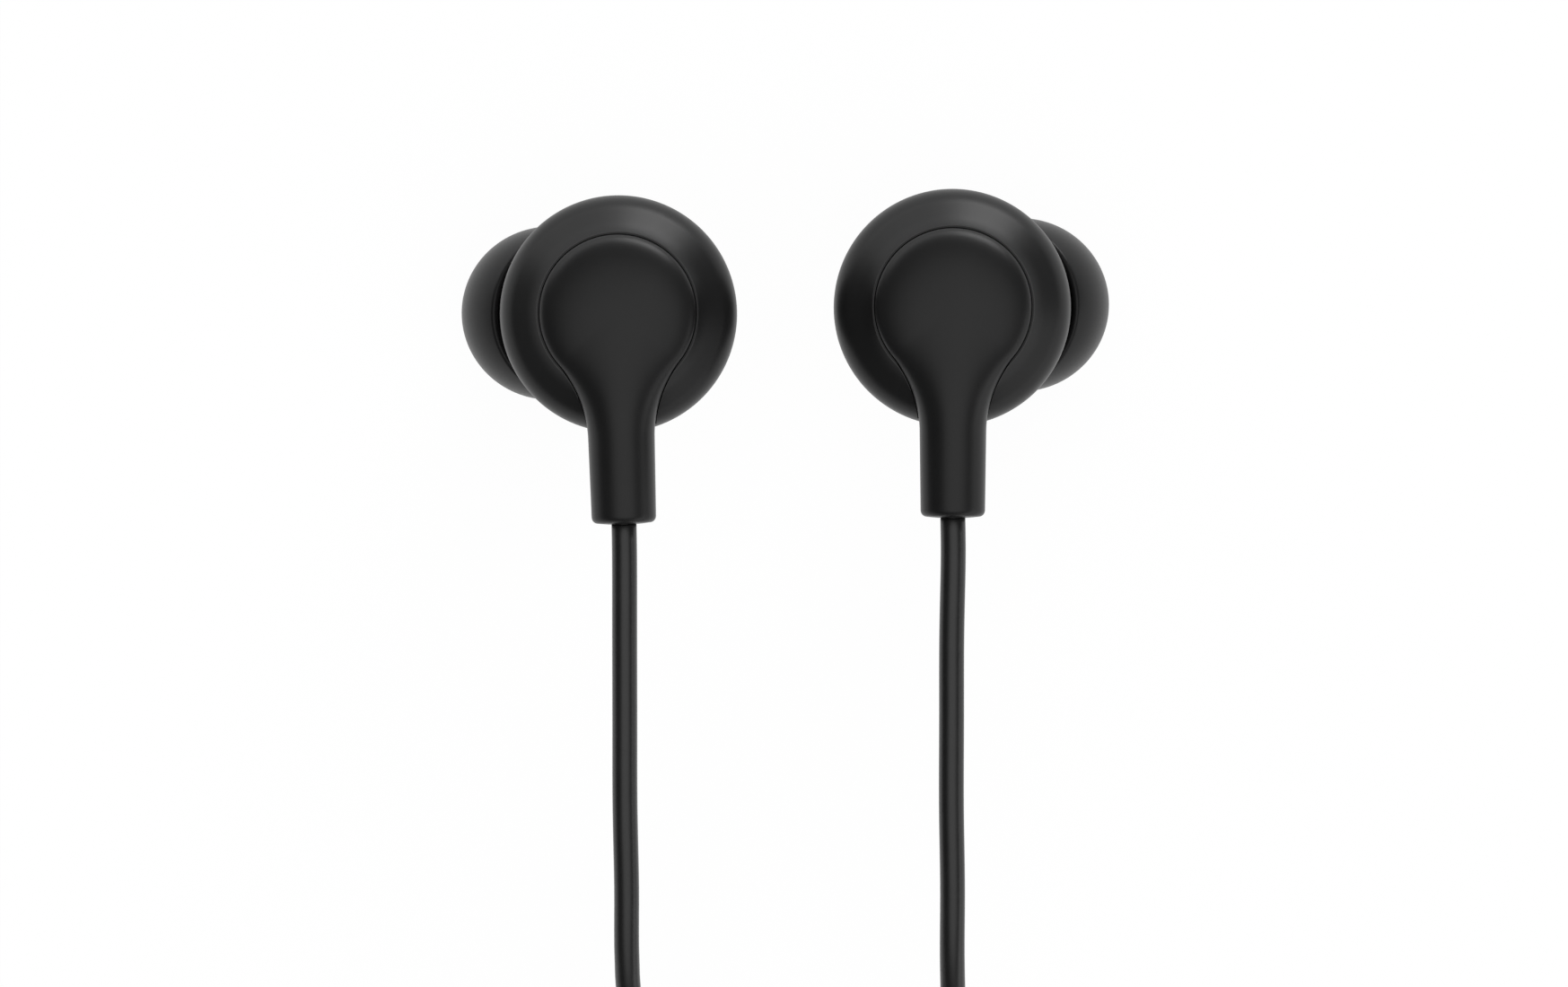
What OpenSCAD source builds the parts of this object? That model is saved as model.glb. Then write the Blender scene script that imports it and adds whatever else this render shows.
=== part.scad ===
// Wired in-ear earphones: two buds lying face up on their ear tips, with their leads, Y-split, main lead and
// straight stereo plug. Millimetres. +Z is up, off the table; +X runs from the left bud to the right bud.

/* [Layout] */
// Distance of each housing's rim from the middle plane
bud_x = 3.46; // [1.5:0.01:7.5]
// Where the middle of the two buds' centres lies, along Y
bud_y = 3.35; // [0:0.01:6]
// How much further up the table the right bud lies than the left one
bud_stagger = 0.46; // [0:0.01:2]
// Turn of the left bud in its own plane
left_roll = 1.64; // [0:0.01:5]
// Turn of the right bud in its own plane
right_roll = 0; // [0:0.01:5]

/* [Housing] */
// Diameter of the round housing at its rim
disc_d = 17; // [16:0.1:19]
// Radius of the rim's rounded edge
rim_round = 2.8; // [2.4:0.1:3]
// Slope of the flared face
flare_slope = 38; // [36:1:40]
// Slope of the flared face where it meets the cover
fillet_slope = 50; // [48:1:53]
// Radius of the hollow between flare and cover
fillet_r = 6; // [5:0.5:6.5]
// Wall of the housing's shells
shell_wall = 1; // [0.8:0.05:1.2]
// How far the two shells' parting line lies under the rim
part_drop = 0.3; // [0.1:0.05:0.5]
// Length of the rear shell's spigot in the front shell
spigot_len = 1; // [0.6:0.1:1.4]
// Wall of the spigot
spigot_wall = 0.7; // [0.5:0.05:0.9]
// Height of the wall between the flared face and the cavity's outer corner
flare_wall = 0.73; // [0.6:0.01:0.9]
// Height of the front shell's upright side
side_h = 0.5; // [0.3:0.05:0.7]
// Height of the front shell's chamfer
chamfer_h = 0.9; // [0.5:0.05:1.2]
// Width of the front shell's chamfer
chamfer_w = 0.55; // [0.3:0.05:0.8]

/* [Cover] */
// Diameter of the cover's round plate
plate_d = 11.2; // [10.6:0.1:11.6]
// Rise of the plate's dome above the flare
plate_h = 1.65; // [1.4:0.05:1.9]
// How deep the plate sits in the rear shell
plate_sink = 0.7; // [0.5:0.05:0.9]
// Wall round the pocket under the plate
plate_wall = 1; // [0.8:0.05:1.1]
// Width of the groove round the cover
groove_w = 0.12; // [0.05:0.01:0.2]
// How far outside the housing's rim the neck ends and the stem begins
neck_end = 0.5; // [0.1:0.1:1.1]

/* [Stem] */
// Diameter of the stem at the neck
stem_d = 4.76; // [4.4:0.02:5]
// Diameter of the stem at its end
stem_end_d = 4.6; // [4.2:0.02:4.8]
// How far the stem reaches beyond the housing's rim
stem_reach = 6.5; // [5.5:0.1:9.5]
// How much the stem leans away from the disc's plane
stem_tilt = 6; // [4:0.5:8]
// Radius of the stem end's edge
stem_round = 0.45; // [0.2:0.05:0.7]

/* [Nozzle] */
// Angle between the nozzle and the disc's axis
nozzle_angle = 30; // [26:0.5:33]
// Rise of the nozzle towards the top of the bud
nozzle_rise = 2.3; // [0:0.1:5]
// Distance from the bud's centre to the nozzle's shoulder
nozzle_start = 8.3; // [8:0.1:9]
// Diameter of the housing at the shoulder
shoulder_d = 7.6; // [7.2:0.1:8]
// Length of the nozzle
nozzle_len = 5.3; // [4.5:0.1:5.6]
// Diameter of the nozzle
nozzle_d = 5.5; // [5.2:0.05:5.7]
// Diameter of the nozzle's retaining lip
lip_d = 6.1; // [6:0.05:6.3]
// Width of the lip
lip_w = 0.9; // [0.6:0.05:1.2]
// Bore of the nozzle
nozzle_bore = 3.8; // [3.4:0.05:4]
// Diameter of the nozzle's mesh
mesh_d = 4.5; // [4.2:0.05:4.7]
// Thickness of the mesh
mesh_t = 0.25; // [0.15:0.05:0.4]
// Holes in each row across the mesh
mesh_rows = 7; // [5:2:9]

/* [Ear tip] */
// Largest diameter of the ear tip
tip_d = 12.6; // [12:0.1:13.4]
// Height of the dome over its widest place
tip_dome = 7; // [6.8:0.1:7.6]
// Distance from the nozzle's shoulder to the tip's widest place
tip_seat = 1.82; // [1.7:0.01:2.3]
// How much of the dome's point is cut off at its mouth
mouth_cut = 0.6; // [0.5:0.05:0.8]
// Length of the skirt behind the widest place
skirt_len = 2.2; // [1.8:0.1:2.4]
// Thickness of the dome
dome_wall = 0.6; // [0.4:0.05:0.8]
// Wall of the tip's core tube
core_wall = 0.9; // [0.6:0.05:1.1]
// Diameter of the sound channel in front of the nozzle
mouth_d = 4; // [3.6:0.1:4.2]

/* [Driver] */
// Diameter of the driver
driver_d = 9; // [8.4:0.1:9.2]
// Height of the driver from its cap to its frame's back
driver_h = 2.7; // [2.6:0.05:2.8]
// Depth of the frame's back under the housing's rim
driver_back = 0.2; // [0.1:0.05:0.3]
// Width of the seat that the driver lies on
seat_w = 0.7; // [0.5:0.05:0.9]
// Thickness of the seat and of the wall round the driver
seat_t = 0.3; // [0.2:0.05:0.4]
// Thickness of the driver's front cap
cap_t = 0.3; // [0.2:0.05:0.35]
// Diameter of the cap's holes
cap_hole_d = 0.9; // [0.6:0.05:1.1]
// Holes in the cap's ring
cap_holes = 6; // [4:1:8]
// Wall of the frame
frame_wall = 0.45; // [0.35:0.05:0.5]
// Width of the ledge that carries the surround
frame_ledge = 0.2; // [0.15:0.05:0.3]
// Thickness of the frame's floor
frame_floor = 0.3; // [0.25:0.05:0.4]
// Depth of the surround's ledge behind the cap
ledge_depth = 0.75; // [0.7:0.05:0.9]
// Diameter of the frame's rear holes
vent_d = 0.4; // [0.3:0.05:0.45]
// Rear holes in the frame
vents = 6; // [4:1:8]
// Diameter of the yoke
yoke_d = 6.6; // [6.4:0.05:6.7]
// Height of the yoke
yoke_h = 2.2; // [2.1:0.05:2.25]
// Wall of the yoke
yoke_wall = 0.4; // [0.35:0.05:0.45]
// How far the yoke stands out behind the frame
yoke_out = 1.2; // [1.1:0.05:1.25]
// Height of the magnet
magnet_h = 1.3; // [1.2:0.05:1.35]
// How much smaller the magnet is than the top plate, all round
magnet_inset = 0.15; // [0.1:0.05:0.3]
// Gap on either side of the voice coil
coil_gap = 0.12; // [0.1:0.01:0.14]
// Thickness of the voice coil's winding
coil_wall = 0.2; // [0.15:0.01:0.22]
// Length of the voice coil
coil_h = 1.45; // [1.3:0.05:1.5]
// Thickness of the diaphragm and its surround
film_t = 0.15; // [0.1:0.01:0.18]
// Rise of the diaphragm's dome
dome_rise = 0.25; // [0.15:0.01:0.3]
// Diameter of the terminal board
board_d = 5.2; // [4.8:0.1:5.6]
// Thickness of the terminal board
board_t = 0.4; // [0.3:0.05:0.5]
// Thickness of the damping paper
paper_t = 0.15; // [0.1:0.01:0.2]

/* [Cord] */
// Diameter of the cord
cord_d = 1.8; // [1.6:0.05:1.9]
// Diameter of the stop on the cord's end
stop_d = 3; // [2.6:0.1:3.2]
// Length of the stop
stop_len = 1.2; // [0.8:0.1:1.6]
// How deep in the stem the stop lies
stop_depth = 7.7; // [7.3:0.1:8]
// Length of cord beyond the stop
cord_tail = 0.2; // [0.1:0.05:0.4]
// Diameter of a lead wire
wire_d = 0.24; // [0.2:0.01:0.3]
// Half the distance between the two solder joints on the board
joint_half = 1; // [0.8:0.05:1.2]
// Diameter of a solder joint
joint_d = 0.7; // [0.5:0.05:0.9]
// Height of a solder joint
joint_h = 0.45; // [0.4:0.05:0.5]

/* [Coils] */
// Outer radius of each coil, at the middle of its outermost turn
coil_r = 13.2; // [13:0.1:13.6]
// Turns that lie beside each other in a coil
coil_across = 3.75; // [3:0.25:4]
// Layers of turns in a coil
coil_layers = 4; // [3:1:5]
// Thickness of a tie
tie_t = 0.4; // [0.3:0.05:0.6]
// Width of a tie, as an angle round the coil
tie_angle = 22; // [15:1:30]

/* [Splitter] */
// Diameter of the Y-split's body
split_d = 5.4; // [5.2:0.1:6]
// Length of the Y-split's body
split_len = 12; // [10:0.5:14]
// Radius of the Y-split's rounded ends
split_round = 0.8; // [0.4:0.1:1.2]
// Half the distance between the two leads
split_half = 1.2; // [1.1:0.05:1.3]
// Depth that a cord goes into the Y-split or the strain relief
cord_in = 2; // [1.5:0.1:3]

/* [Plug] */
// Diameter of the plug's contacts
plug_d = 3.5; // [3.4:0.05:3.6]
// Exposed length of the sleeve contact
sleeve_len = 7.5; // [7:0.1:8]
// Width of each insulating ring
insul_w = 0.6; // [0.5:0.05:0.8]
// Length of the ring contact
ring_len = 1.9; // [1.6:0.1:2.2]
// Length of the tip contact
tip_len = 3.4; // [3.2:0.1:3.6]
// How much smaller the insulators are than the contacts, all round
insul_drop = 0; // [0:0.01:0.1]
// How deep the contacts reach into the plug's body
plug_root = 5; // [4:0.1:8]
// Radius of the tip contact's rod
rod_r = 0.5; // [0.4:0.02:0.52]
// Wall of each tube inside the plug
tube_wall = 0.22; // [0.2:0.01:0.24]
// Diameter of the plug's body
body_d = 7; // [6.4:0.1:7]
// Length of the plug's body
body_len = 20; // [16:0.5:24]
// Radius of the body's rounded ends
body_round = 0.7; // [0.4:0.1:1]
// Diameter of the strain relief at the plug's body
relief_d = 4.4; // [4:0.1:5]
// Diameter of the strain relief at the cord
relief_end_d = 3; // [2.8:0.1:3.4]
// Length of the strain relief
relief_len = 8; // [6:0.5:10]
// Grooves round the strain relief
relief_grooves = 4; // [2:1:5]
// Width of each groove
relief_groove_w = 0.6; // [0.4:0.05:0.8]
// Depth of each groove
relief_groove_t = 0.3; // [0.2:0.05:0.35]

/* [Clearances] */
// Between parts that slide on each other, all round
slide_gap = 0.05; // [0.03:0.01:0.08]
// Between parts that are pressed or glued together, all round
seat_gap = 0.02; // [0.01:0.01:0.04]
// Between the ear tip's core and the nozzle's shoulder, and in front of the nozzle
tip_gap = 0.15; // [0.05:0.05:0.25]

/* [Hidden] */

LEFT = -1;
RIGHT = 1;
SHELL_BLACK = [0.17, 0.17, 0.17];
COVER_BLACK = [0.2, 0.2, 0.2];
RUBBER_BLACK = [0.13, 0.13, 0.13];
CORD_BLACK = [0.18, 0.18, 0.18];

// Facets: true curves keep any number of them, hulls keep what is set here
$fn = 96;
hull_fn = 48;
arc_steps = 6;
ellipse_steps = 20;
cord_sides = 8;
// A cut runs past the face that it opens by this much
over = 0.5;
// A faceted shape stays inside the true curve that it meets by this much
inset = 0.02;

// Radii of the housing and its pieces
disc_r = disc_d / 2;
plate_r = plate_d / 2;
stem_r = stem_d / 2;
stem_end_r = stem_end_d / 2;
cord_r = cord_d / 2;
shell_bore_r = disc_r - shell_wall;
groove_r = plate_r + groove_w;

// Rear face of the housing, from its rim to the groove round the cover
flare_r0 = disc_r - rim_round * (1 - sin(flare_slope));
flare_z0 = rim_round * cos(flare_slope);
fillet_r0 = groove_r + fillet_r * (sin(fillet_slope) - sin(flare_slope));
fillet_z0 = flare_z0 + (flare_r0 - fillet_r0) * tan(flare_slope);
groove_z = fillet_z0 + fillet_r * (cos(flare_slope) - cos(fillet_slope));

// Distances from a bud's centre to the end of its neck and of its stem
neck_y = disc_r + neck_end;
stem_y = disc_r + stem_reach;

// Heights in a bud, from the plane of its rim
part_z = -part_drop;
seat_z = groove_z - plate_sink;
plate_z = groove_z + plate_h;
ceiling_z = seat_z - shell_wall;
back_z = -driver_back;
front_z = back_z - driver_h;
cap_z = front_z + cap_t;
ledge_z = cap_z + ledge_depth;
yoke_back_z = back_z + yoke_out;
yoke_front_z = yoke_back_z - yoke_h;
magnet_back_z = yoke_back_z - yoke_wall;
plate_back_z = magnet_back_z - magnet_h;
board_z = yoke_back_z;

// The neck's sides are arcs that touch the plate's circle and the stem's side
neck_r = (neck_y * neck_y + stem_r * stem_r - plate_r * plate_r) / (2 * (plate_r - stem_r));
neck_x = stem_r + neck_r;
neck_turn = asin(neck_y / (plate_r + neck_r));
neck_steps = 8;

// The stem's axis, from the middle of its end face
stem_end_z = plate_z - stem_r - (stem_y - plate_r) * tan(stem_tilt);
stem_len = (stem_y - neck_y) / cos(stem_tilt);
stem_bore_r = cord_r + slide_gap;
stop_bore_r = stop_d / 2 + slide_gap;
channel_len = (stem_y - plate_r) / cos(stem_tilt) + over;

// The driver
driver_r = driver_d / 2;
frame_r = driver_r - frame_wall;
yoke_r = yoke_d / 2;
yoke_bore_r = yoke_r - yoke_wall;
voice_r1 = yoke_bore_r - coil_gap;
voice_r0 = voice_r1 - coil_wall;
top_plate_r = voice_r0 - coil_gap;
seat_r = driver_r - seat_w;
roll_mid = (voice_r1 + frame_r - frame_ledge) / 2;
roll_r = (frame_r - frame_ledge - voice_r1) / 2 - film_t;
rib_w = 0.6;
wire_half = cord_r / 3;
joint_y = board_d / 3;

// The nozzle and the ear tip on it
bore_r = nozzle_bore / 2;
lip_third = lip_w / 3;
mesh_pitch = nozzle_bore / (mesh_rows + 1);
mesh_hole_r = mesh_pitch / 3;
nozzle_end = nozzle_start + nozzle_len;
tip_r = tip_d / 2;
core_bore_r = lip_d / 2 + slide_gap;
core_r = core_bore_r + core_wall;
mouth_r = mouth_d / 2;
mouth_t = tip_dome - mouth_cut;
mouth_rise = mouth_cut / 6;
mouth_drop = mouth_cut / 3;
core_back_t = tip_gap - tip_seat;
channel_t = nozzle_len + tip_gap - tip_seat;
tip_mid = nozzle_start + tip_seat;

// A bud's height follows from its ear tip, whose dome rests on the table
nozzle_cos = cos(nozzle_angle) * cos(nozzle_rise);
dome_drop = sqrt(pow(tip_dome * nozzle_cos, 2) + pow(tip_r, 2) * (1 - pow(nozzle_cos, 2)));
rim_height = tip_mid * nozzle_cos + dome_drop;

// Coils: turns lie one cord apart, and the lowest layer lies on the tie
coil_out = coil_r + cord_r;
coil_in = coil_out - coil_across * cord_d;
coil_top = tie_t + coil_layers * cord_d;
LEAD_COIL = [-0.9, -67];
MAIN_COIL = [-0.9, -113];

// The Y-split points up the table and the plug down it; these are the middles of their front ends
SPLIT = [12.3, -84, split_d / 2];
PLUG = [19.7, -116, body_d / 2];

// The plug's contacts lie in each other: the tip's rod, the ring's tube and the sleeve, an insulator between each
tip_tube_r = rod_r + seat_gap;
ring_r = tip_tube_r + tube_wall + seat_gap;
ring_tube_r = ring_r + tube_wall + seat_gap;
sleeve_r = ring_tube_r + tube_wall + seat_gap;
contact_r = plug_d / 2;
insul_r = contact_r - insul_drop;
root_r = sleeve_r + tube_wall;
ring_t = sleeve_len + insul_w;
tip_insul_t = ring_t + ring_len;
tip_t = tip_insul_t + insul_w;
rod_end_t = tip_t + tip_len / 4;
// The tip contact's notched nose: share of its radius, share of its length
NOSE = [[1, 0], [1, 0.12], [0.7, 0.3], [0.7, 0.38], [1, 0.62], [0.9, 0.76], [0.3, 1]];

// Routes of the cord where it isn't coiled. Each lead's first point is the end of its stem.
LEFT_ROUTE = [
    [-11.5, -14, 17.3], [-11.5, -20, 16.7], [-11.5, -26, 16], [-11.5, -32, 15.2], [-11.4, -38, 14.2],
    [-11.4, -43, 13], [-11.2, -46.2, 11.7], [-10.2, -49.1, 9.8], [-8, -51.7, 7.6], [-4.7, -53.4, 5.7],
    [-0.9, -54, 4.9]
];
RIGHT_ROUTE = [
    [12, -14, 17.3], [11.9, -20, 16.7], [11.9, -26, 16], [11.9, -32, 15.2], [12, -38, 14.2],
    [12, -43, 12.9], [12.1, -47, 11], [12.1, -51, 8.4], [12.2, -55, 5.6], [12.2, -59, 3.2],
    [12.3, -63, 1.7], [12.3, -67, 1.3]
];
LEFT_RUN = [
    [12.1, -67, 6.7], [12.1, -70, 6.6], [11.8, -73.5, 5.7], [11.4, -77, 4.4], [11.2, -80.5, 3.2],
    [11.1, -83, 2.7], [11.1, -86, 2.7]
];
RIGHT_RUN = [
    [12.3, -67, 3.1], [12.4, -70, 3.1], [12.7, -73.5, 3], [13.1, -77, 2.9], [13.4, -80.5, 2.7],
    [13.5, -83, 2.7], [13.5, -86, 2.7]
];
MAIN_ROUTE = [
    [12.3, -94, 2.7], [12.3, -97, 2.7], [12.3, -100.5, 2.3], [12.3, -104, 1.7], [12.3, -108, 1.4],
    [12.3, -113, 1.3]
];
PLUG_ROUTE = [
    [-10.2, -103.7, 6.7], [-7, -100.5, 6.7], [-3, -96.5, 6.7], [1, -92.5, 6.7], [5.4, -88.1, 6.7],
    [9.8, -83.7, 6.7], [11.7, -82.4, 6.6], [13.9, -82, 6.2], [16.1, -82.4, 5.5], [18, -83.7, 4.6],
    [19.3, -85.6, 3.8], [19.7, -87.6, 3.5], [19.7, -90, 3.5]
];

// ---- Functions ----

function unit(v) = v / norm(v);

// Points of an arc about c, from angle a0 to angle a1
function arc(c, r, a0, a1, n = arc_steps) =
    [for (i = [0:n]) let (a = a0 + (a1 - a0) * i / n) c + r * [cos(a), sin(a)]];

// Points of an ellipse about the origin of (r, t), from height t0 to height t1
function ellipse(r, h, t0, t1, n = ellipse_steps) =
    [for (i = [0:n]) let (a0 = asin(t0 / h), a = a0 + (asin(t1 / h) - a0) * i / n) [r * cos(a), h * sin(a)]];

// Direction of a route at its point i
function heading(p, i) = unit(p[min(i + 1, len(p) - 1)] - p[max(i - 1, 0)]);

// Ring of a swept tube, square to its route
function ring(p, t, r) = let (s = unit(cross(t, [0, 0, 1])), u = cross(s, t))
    [for (k = [0:cord_sides - 1]) let (a = 360 * k / cord_sides) p + r * (cos(a) * s + sin(a) * u)];

// Outline of the neck f of the way from the plate to the stem, grown by g. Each half of it stands square to the
// neck's side, is w wide, and is a quarter of an ellipse over the side's line and another one under it.
function neck_rim(f, g) = let (
    a = neck_turn * (1 - f),
    w = neck_x / cos(a) - neck_r - 2 * inset + g,
    high = plate_h + f * (stem_r - plate_h),
    low = plate_sink + sin(90 * f) * (stem_r - plate_sink),
    side = [for (i = [0:2 * arc_steps]) let (
        e = 90 - 90 * i / arc_steps,
        d = neck_x / cos(a) - w * cos(e),
        y = d * sin(a) - neck_y,
        z = plate_z - high - max(0, -y - plate_r) * tan(stem_tilt)
    ) [neck_x - d * cos(a), y, z + sin(e) * ((e > 0 ? high : low) - inset + g)]]
) concat(side, [for (i = [2 * arc_steps - 1:-1:1]) [-side[i][0], side[i][1], side[i][2]]]);

function bud_centre(side) = [side * (disc_r + bud_x), bud_y + side * bud_stagger / 2, rim_height];
function bud_roll(side) = side == LEFT ? left_roll : right_roll;

// Middle of a stem's end face on the table's axes
function stem_end(side) = let (a = bud_roll(side))
    bud_centre(side) + [stem_y * sin(a), -stem_y * cos(a), stem_end_z];

// ---- Placing ----

module bud(side) {
    translate(bud_centre(side)) rotate([0, 0, bud_roll(side)]) children();
}

// Children stand on the bud's centre with +Z out along the nozzle
module along_nozzle(side) {
    rotate([nozzle_rise, 0, 0]) rotate([0, side * (180 - nozzle_angle), 0]) children();
}

// Children start at the middle of the stem's end face with +Z into the stem
module along_stem() {
    translate([0, -stem_y, stem_end_z]) rotate([stem_tilt - 90, 0, 0]) children();
}

// Children lie with their +Z along the table's +Y
module along_y(p) {
    translate(p) rotate([-90, 0, 0]) children();
}

// Places a piece at a distance along the plug, which points down the table
module along_plug(z = 0) {
    translate(PLUG) rotate([90, 0, 0]) translate([0, 0, z]) children();
}

module disc(z0, z1, r) {
    translate([0, 0, z0]) cylinder(h = z1 - z0, r = r);
}

module tube(z0, z1, r0, r1) {
    difference() {
        disc(z0, z1, r1);
        disc(z0 - over, z1 + over, r0);
    }
}

// Closed skin over a row of rings with the same number of points, each end closed about its middle
module loft(rings) {
    n = len(rings);
    m = len(rings[0]);
    middle = [for (p = [rings[0], rings[n - 1]]) [for (c = [0:2]) [for (v = p) v[c]] * [for (v = p) 1 / m]]];
    walls = [for (i = [0:n - 2]) for (k = [0:m - 1]) let (a = i * m + k, b = i * m + (k + 1) % m)
        each [[a, b, b + m], [a, b + m, a + m]]];
    ends = [for (k = [0:m - 1]) let (j = (k + 1) % m)
        each [[n * m, j, k], [n * m + 1, (n - 1) * m + k, (n - 1) * m + j]]];
    polyhedron(concat([for (p = rings) each p], middle), concat(walls, ends));
}

// Tube swept along a route
module sweep(p, r = cord_r) {
    loft([for (i = [0:len(p) - 1]) ring(p[i], heading(p, i), r)]);
}

// ---- Housing ----

// The cover's outer shape, grown by g all round: domed plate, neck and stem
module cover_form(g = 0) {
    rotate_extrude() polygon(concat(
        [[0, seat_z], [plate_r + g, seat_z]],
        [for (p = ellipse(plate_r + g, plate_h + g, 0, plate_h + g)) p + [0, groove_z]]
    ));
    loft([for (i = [0:neck_steps]) neck_rim(i / neck_steps, g)]);
    along_stem() rotate_extrude() polygon(concat(
        [[0, -g]],
        arc([stem_end_r - stem_round, stem_round], stem_round + g, -90, 0),
        [[stem_r + g, stem_len], [0, stem_len]]
    ));
}

module back_cover() {
    color(COVER_BLACK) difference() {
        cover_form();
        disc(ceiling_z - over, groove_z, plate_r - plate_wall);
        along_stem() disc(-over, channel_len, stem_bore_r);
        along_stem() disc(stop_depth, channel_len + plate_wall, stop_bore_r);
    }
}

module rear_shell() {
    rib_out = driver_r + rib_w;
    spigot_out = shell_bore_r - slide_gap;
    spigot_in = spigot_out - spigot_wall;
    corner_z = flare_z0 + (flare_r0 - spigot_in) * tan(flare_slope) - flare_wall;
    color(SHELL_BLACK) difference() {
        rotate_extrude() polygon(concat(
            [[disc_r, part_z]],
            arc([disc_r - rim_round, 0], rim_round, 0, 90 - flare_slope),
            arc([groove_r + fillet_r * sin(fillet_slope), groove_z + fillet_r * cos(fillet_slope)], fillet_r,
                270 - flare_slope, 270 - fillet_slope),
            [[seat_r, groove_z], [seat_r, back_z + seat_gap], [rib_out, back_z + seat_gap], [rib_out, ceiling_z],
             [spigot_in, corner_z], [spigot_in, part_z - spigot_len], [spigot_out, part_z - spigot_len],
             [spigot_out, part_z]]
        ));
        cover_form(groove_w);
        along_stem() disc(stop_depth, channel_len + over, stop_bore_r);
    }
}

// The front shell's outer shape under its upright side, pulled in by g all round
module front_form(side, g = 0) {
    r = disc_r - inset - g;
    hull() {
        disc(part_z - side_h, part_z - side_h / 2, r, $fn = hull_fn);
        disc(part_z - side_h - chamfer_h, part_z - side_h, r - chamfer_w, $fn = hull_fn);
        along_nozzle(side) disc(nozzle_start - shell_wall - g, nozzle_start - g, shoulder_d / 2 - g, $fn = hull_fn);
    }
}

module front_shell(side) {
    color(SHELL_BLACK) difference() {
        union() {
            difference() {
                union() {
                    front_form(side);
                    disc(part_z - side_h, part_z, disc_r);
                    along_nozzle(side) nozzle_wall();
                }
                front_form(side, shell_wall);
                disc(part_z - spigot_len - slide_gap, part_z + over, shell_bore_r);
            }
            intersection() {
                driver_seat();
                front_form(side, shell_wall / 2);
            }
        }
        along_nozzle(side) nozzle_hollow();
        along_stem() disc(-over, channel_len, stem_r + groove_w);
    }
}

// What holds the driver in the front shell: a web across the shell and a ring round the driver
module driver_seat() {
    pocket_r = driver_r + slide_gap;
    wall_r = pocket_r + seat_t;
    rotate_extrude() polygon([
        [seat_r, front_z - seat_t], [disc_r, front_z - seat_t], [disc_r, front_z], [wall_r, front_z],
        [wall_r, ledge_z], [pocket_r, ledge_z], [pocket_r, front_z], [seat_r, front_z]
    ]);
}

module nozzle_wall() {
    disc(nozzle_start - shell_wall, nozzle_end, nozzle_d / 2);
    rotate_extrude() polygon([
        [0, nozzle_end - lip_w], [nozzle_d / 2, nozzle_end - lip_w], [lip_d / 2, nozzle_end - 2 * lip_third],
        [lip_d / 2, nozzle_end - lip_third], [nozzle_d / 2, nozzle_end], [0, nozzle_end]
    ]);
}

module nozzle_hollow() {
    disc(nozzle_start - shell_wall * 2, nozzle_end + over, bore_r);
    disc(nozzle_end - mesh_t, nozzle_end + over, mesh_d / 2);
}

module nozzle_mesh(side) {
    half = (mesh_rows - 1) / 2;
    color("dimgray") along_nozzle(side) difference() {
        disc(nozzle_end - mesh_t, nozzle_end, mesh_d / 2 - seat_gap);
        for (i = [-half:half], j = [-half:half])
            if (norm([i, j]) * mesh_pitch < bore_r - mesh_pitch) translate(mesh_pitch * [i, j, 0])
                disc(nozzle_end - mesh_t - over, nozzle_end + over, mesh_hole_r);
    }
}

// Umbrella dome with a core tube that fits over the nozzle's lip
module ear_tip(side) {
    inner_r = tip_r - dome_wall;
    inner_h = tip_dome - dome_wall;
    join_t = inner_h * sqrt(1 - pow(core_r / inner_r, 2));
    edge = tip_r * sqrt(1 - pow(mouth_t / tip_dome, 2));
    color(RUBBER_BLACK) along_nozzle(side) translate([0, 0, tip_mid]) rotate_extrude() polygon(concat(
        ellipse(tip_r, tip_dome, -skirt_len, mouth_t),
        [[(edge + mouth_r) / 2, mouth_t + mouth_rise], [mouth_r, mouth_t - mouth_drop],
         [mouth_r, channel_t], [core_bore_r, channel_t], [core_bore_r, core_back_t], [core_r, core_back_t]],
        ellipse(inner_r, inner_h, join_t, -skirt_len)
    ));
}

// ---- Driver ----

module driver_cap() {
    color("silver") difference() {
        disc(front_z, cap_z, driver_r);
        disc(front_z - over, cap_z + over, cap_hole_d / 2);
        for (i = [0:cap_holes - 1]) rotate([0, 0, 360 * i / cap_holes]) translate([driver_r / 2, 0, 0])
            disc(front_z - over, cap_z + over, cap_hole_d / 2);
    }
}

module driver_frame() {
    floor_z = back_z - frame_floor;
    vent_r = (yoke_r + frame_r - frame_ledge) / 2;
    color("gray") difference() {
        disc(cap_z, back_z, driver_r);
        disc(cap_z - over, ledge_z, frame_r);
        disc(ledge_z - over, floor_z, frame_r - frame_ledge);
        disc(floor_z - over, back_z + over, yoke_r + seat_gap);
        for (i = [0:vents - 1]) rotate([0, 0, 360 * i / vents]) translate([vent_r, 0, 0])
            disc(floor_z - over, back_z + over, vent_d / 2);
    }
}

module diaphragm() {
    edge_r = voice_r0;
    ball_r = (edge_r * edge_r + dome_rise * dome_rise) / (2 * dome_rise);
    half = asin(edge_r / ball_r);
    centre = [0, ledge_z - dome_rise + ball_r];
    color("gainsboro") rotate_extrude() polygon(concat(
        arc(centre, ball_r, -90, -90 + half),
        [[voice_r1, ledge_z], [voice_r1, ledge_z - film_t]],
        arc(centre - [0, film_t], ball_r, -90 + half, -90)
    ));
}

// Flat rim, half roll and flat inner edge
module surround() {
    inner = voice_r1 + seat_gap;
    outer = frame_r - seat_gap;
    low = ledge_z - film_t;
    rise = asin(film_t / (roll_r + film_t));
    color("silver") rotate_extrude() polygon(concat(
        [[inner, low]],
        arc([roll_mid, low], roll_r, 180, 0),
        [[outer, low], [outer, ledge_z]],
        arc([roll_mid, low], roll_r + film_t, rise, 180 - rise),
        [[inner, ledge_z]]
    ));
}

module voice_coil() {
    color("peru") tube(ledge_z, ledge_z + coil_h, voice_r0, voice_r1);
}

module top_plate() {
    color("lightgray") disc(yoke_front_z, plate_back_z, top_plate_r);
}

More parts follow.
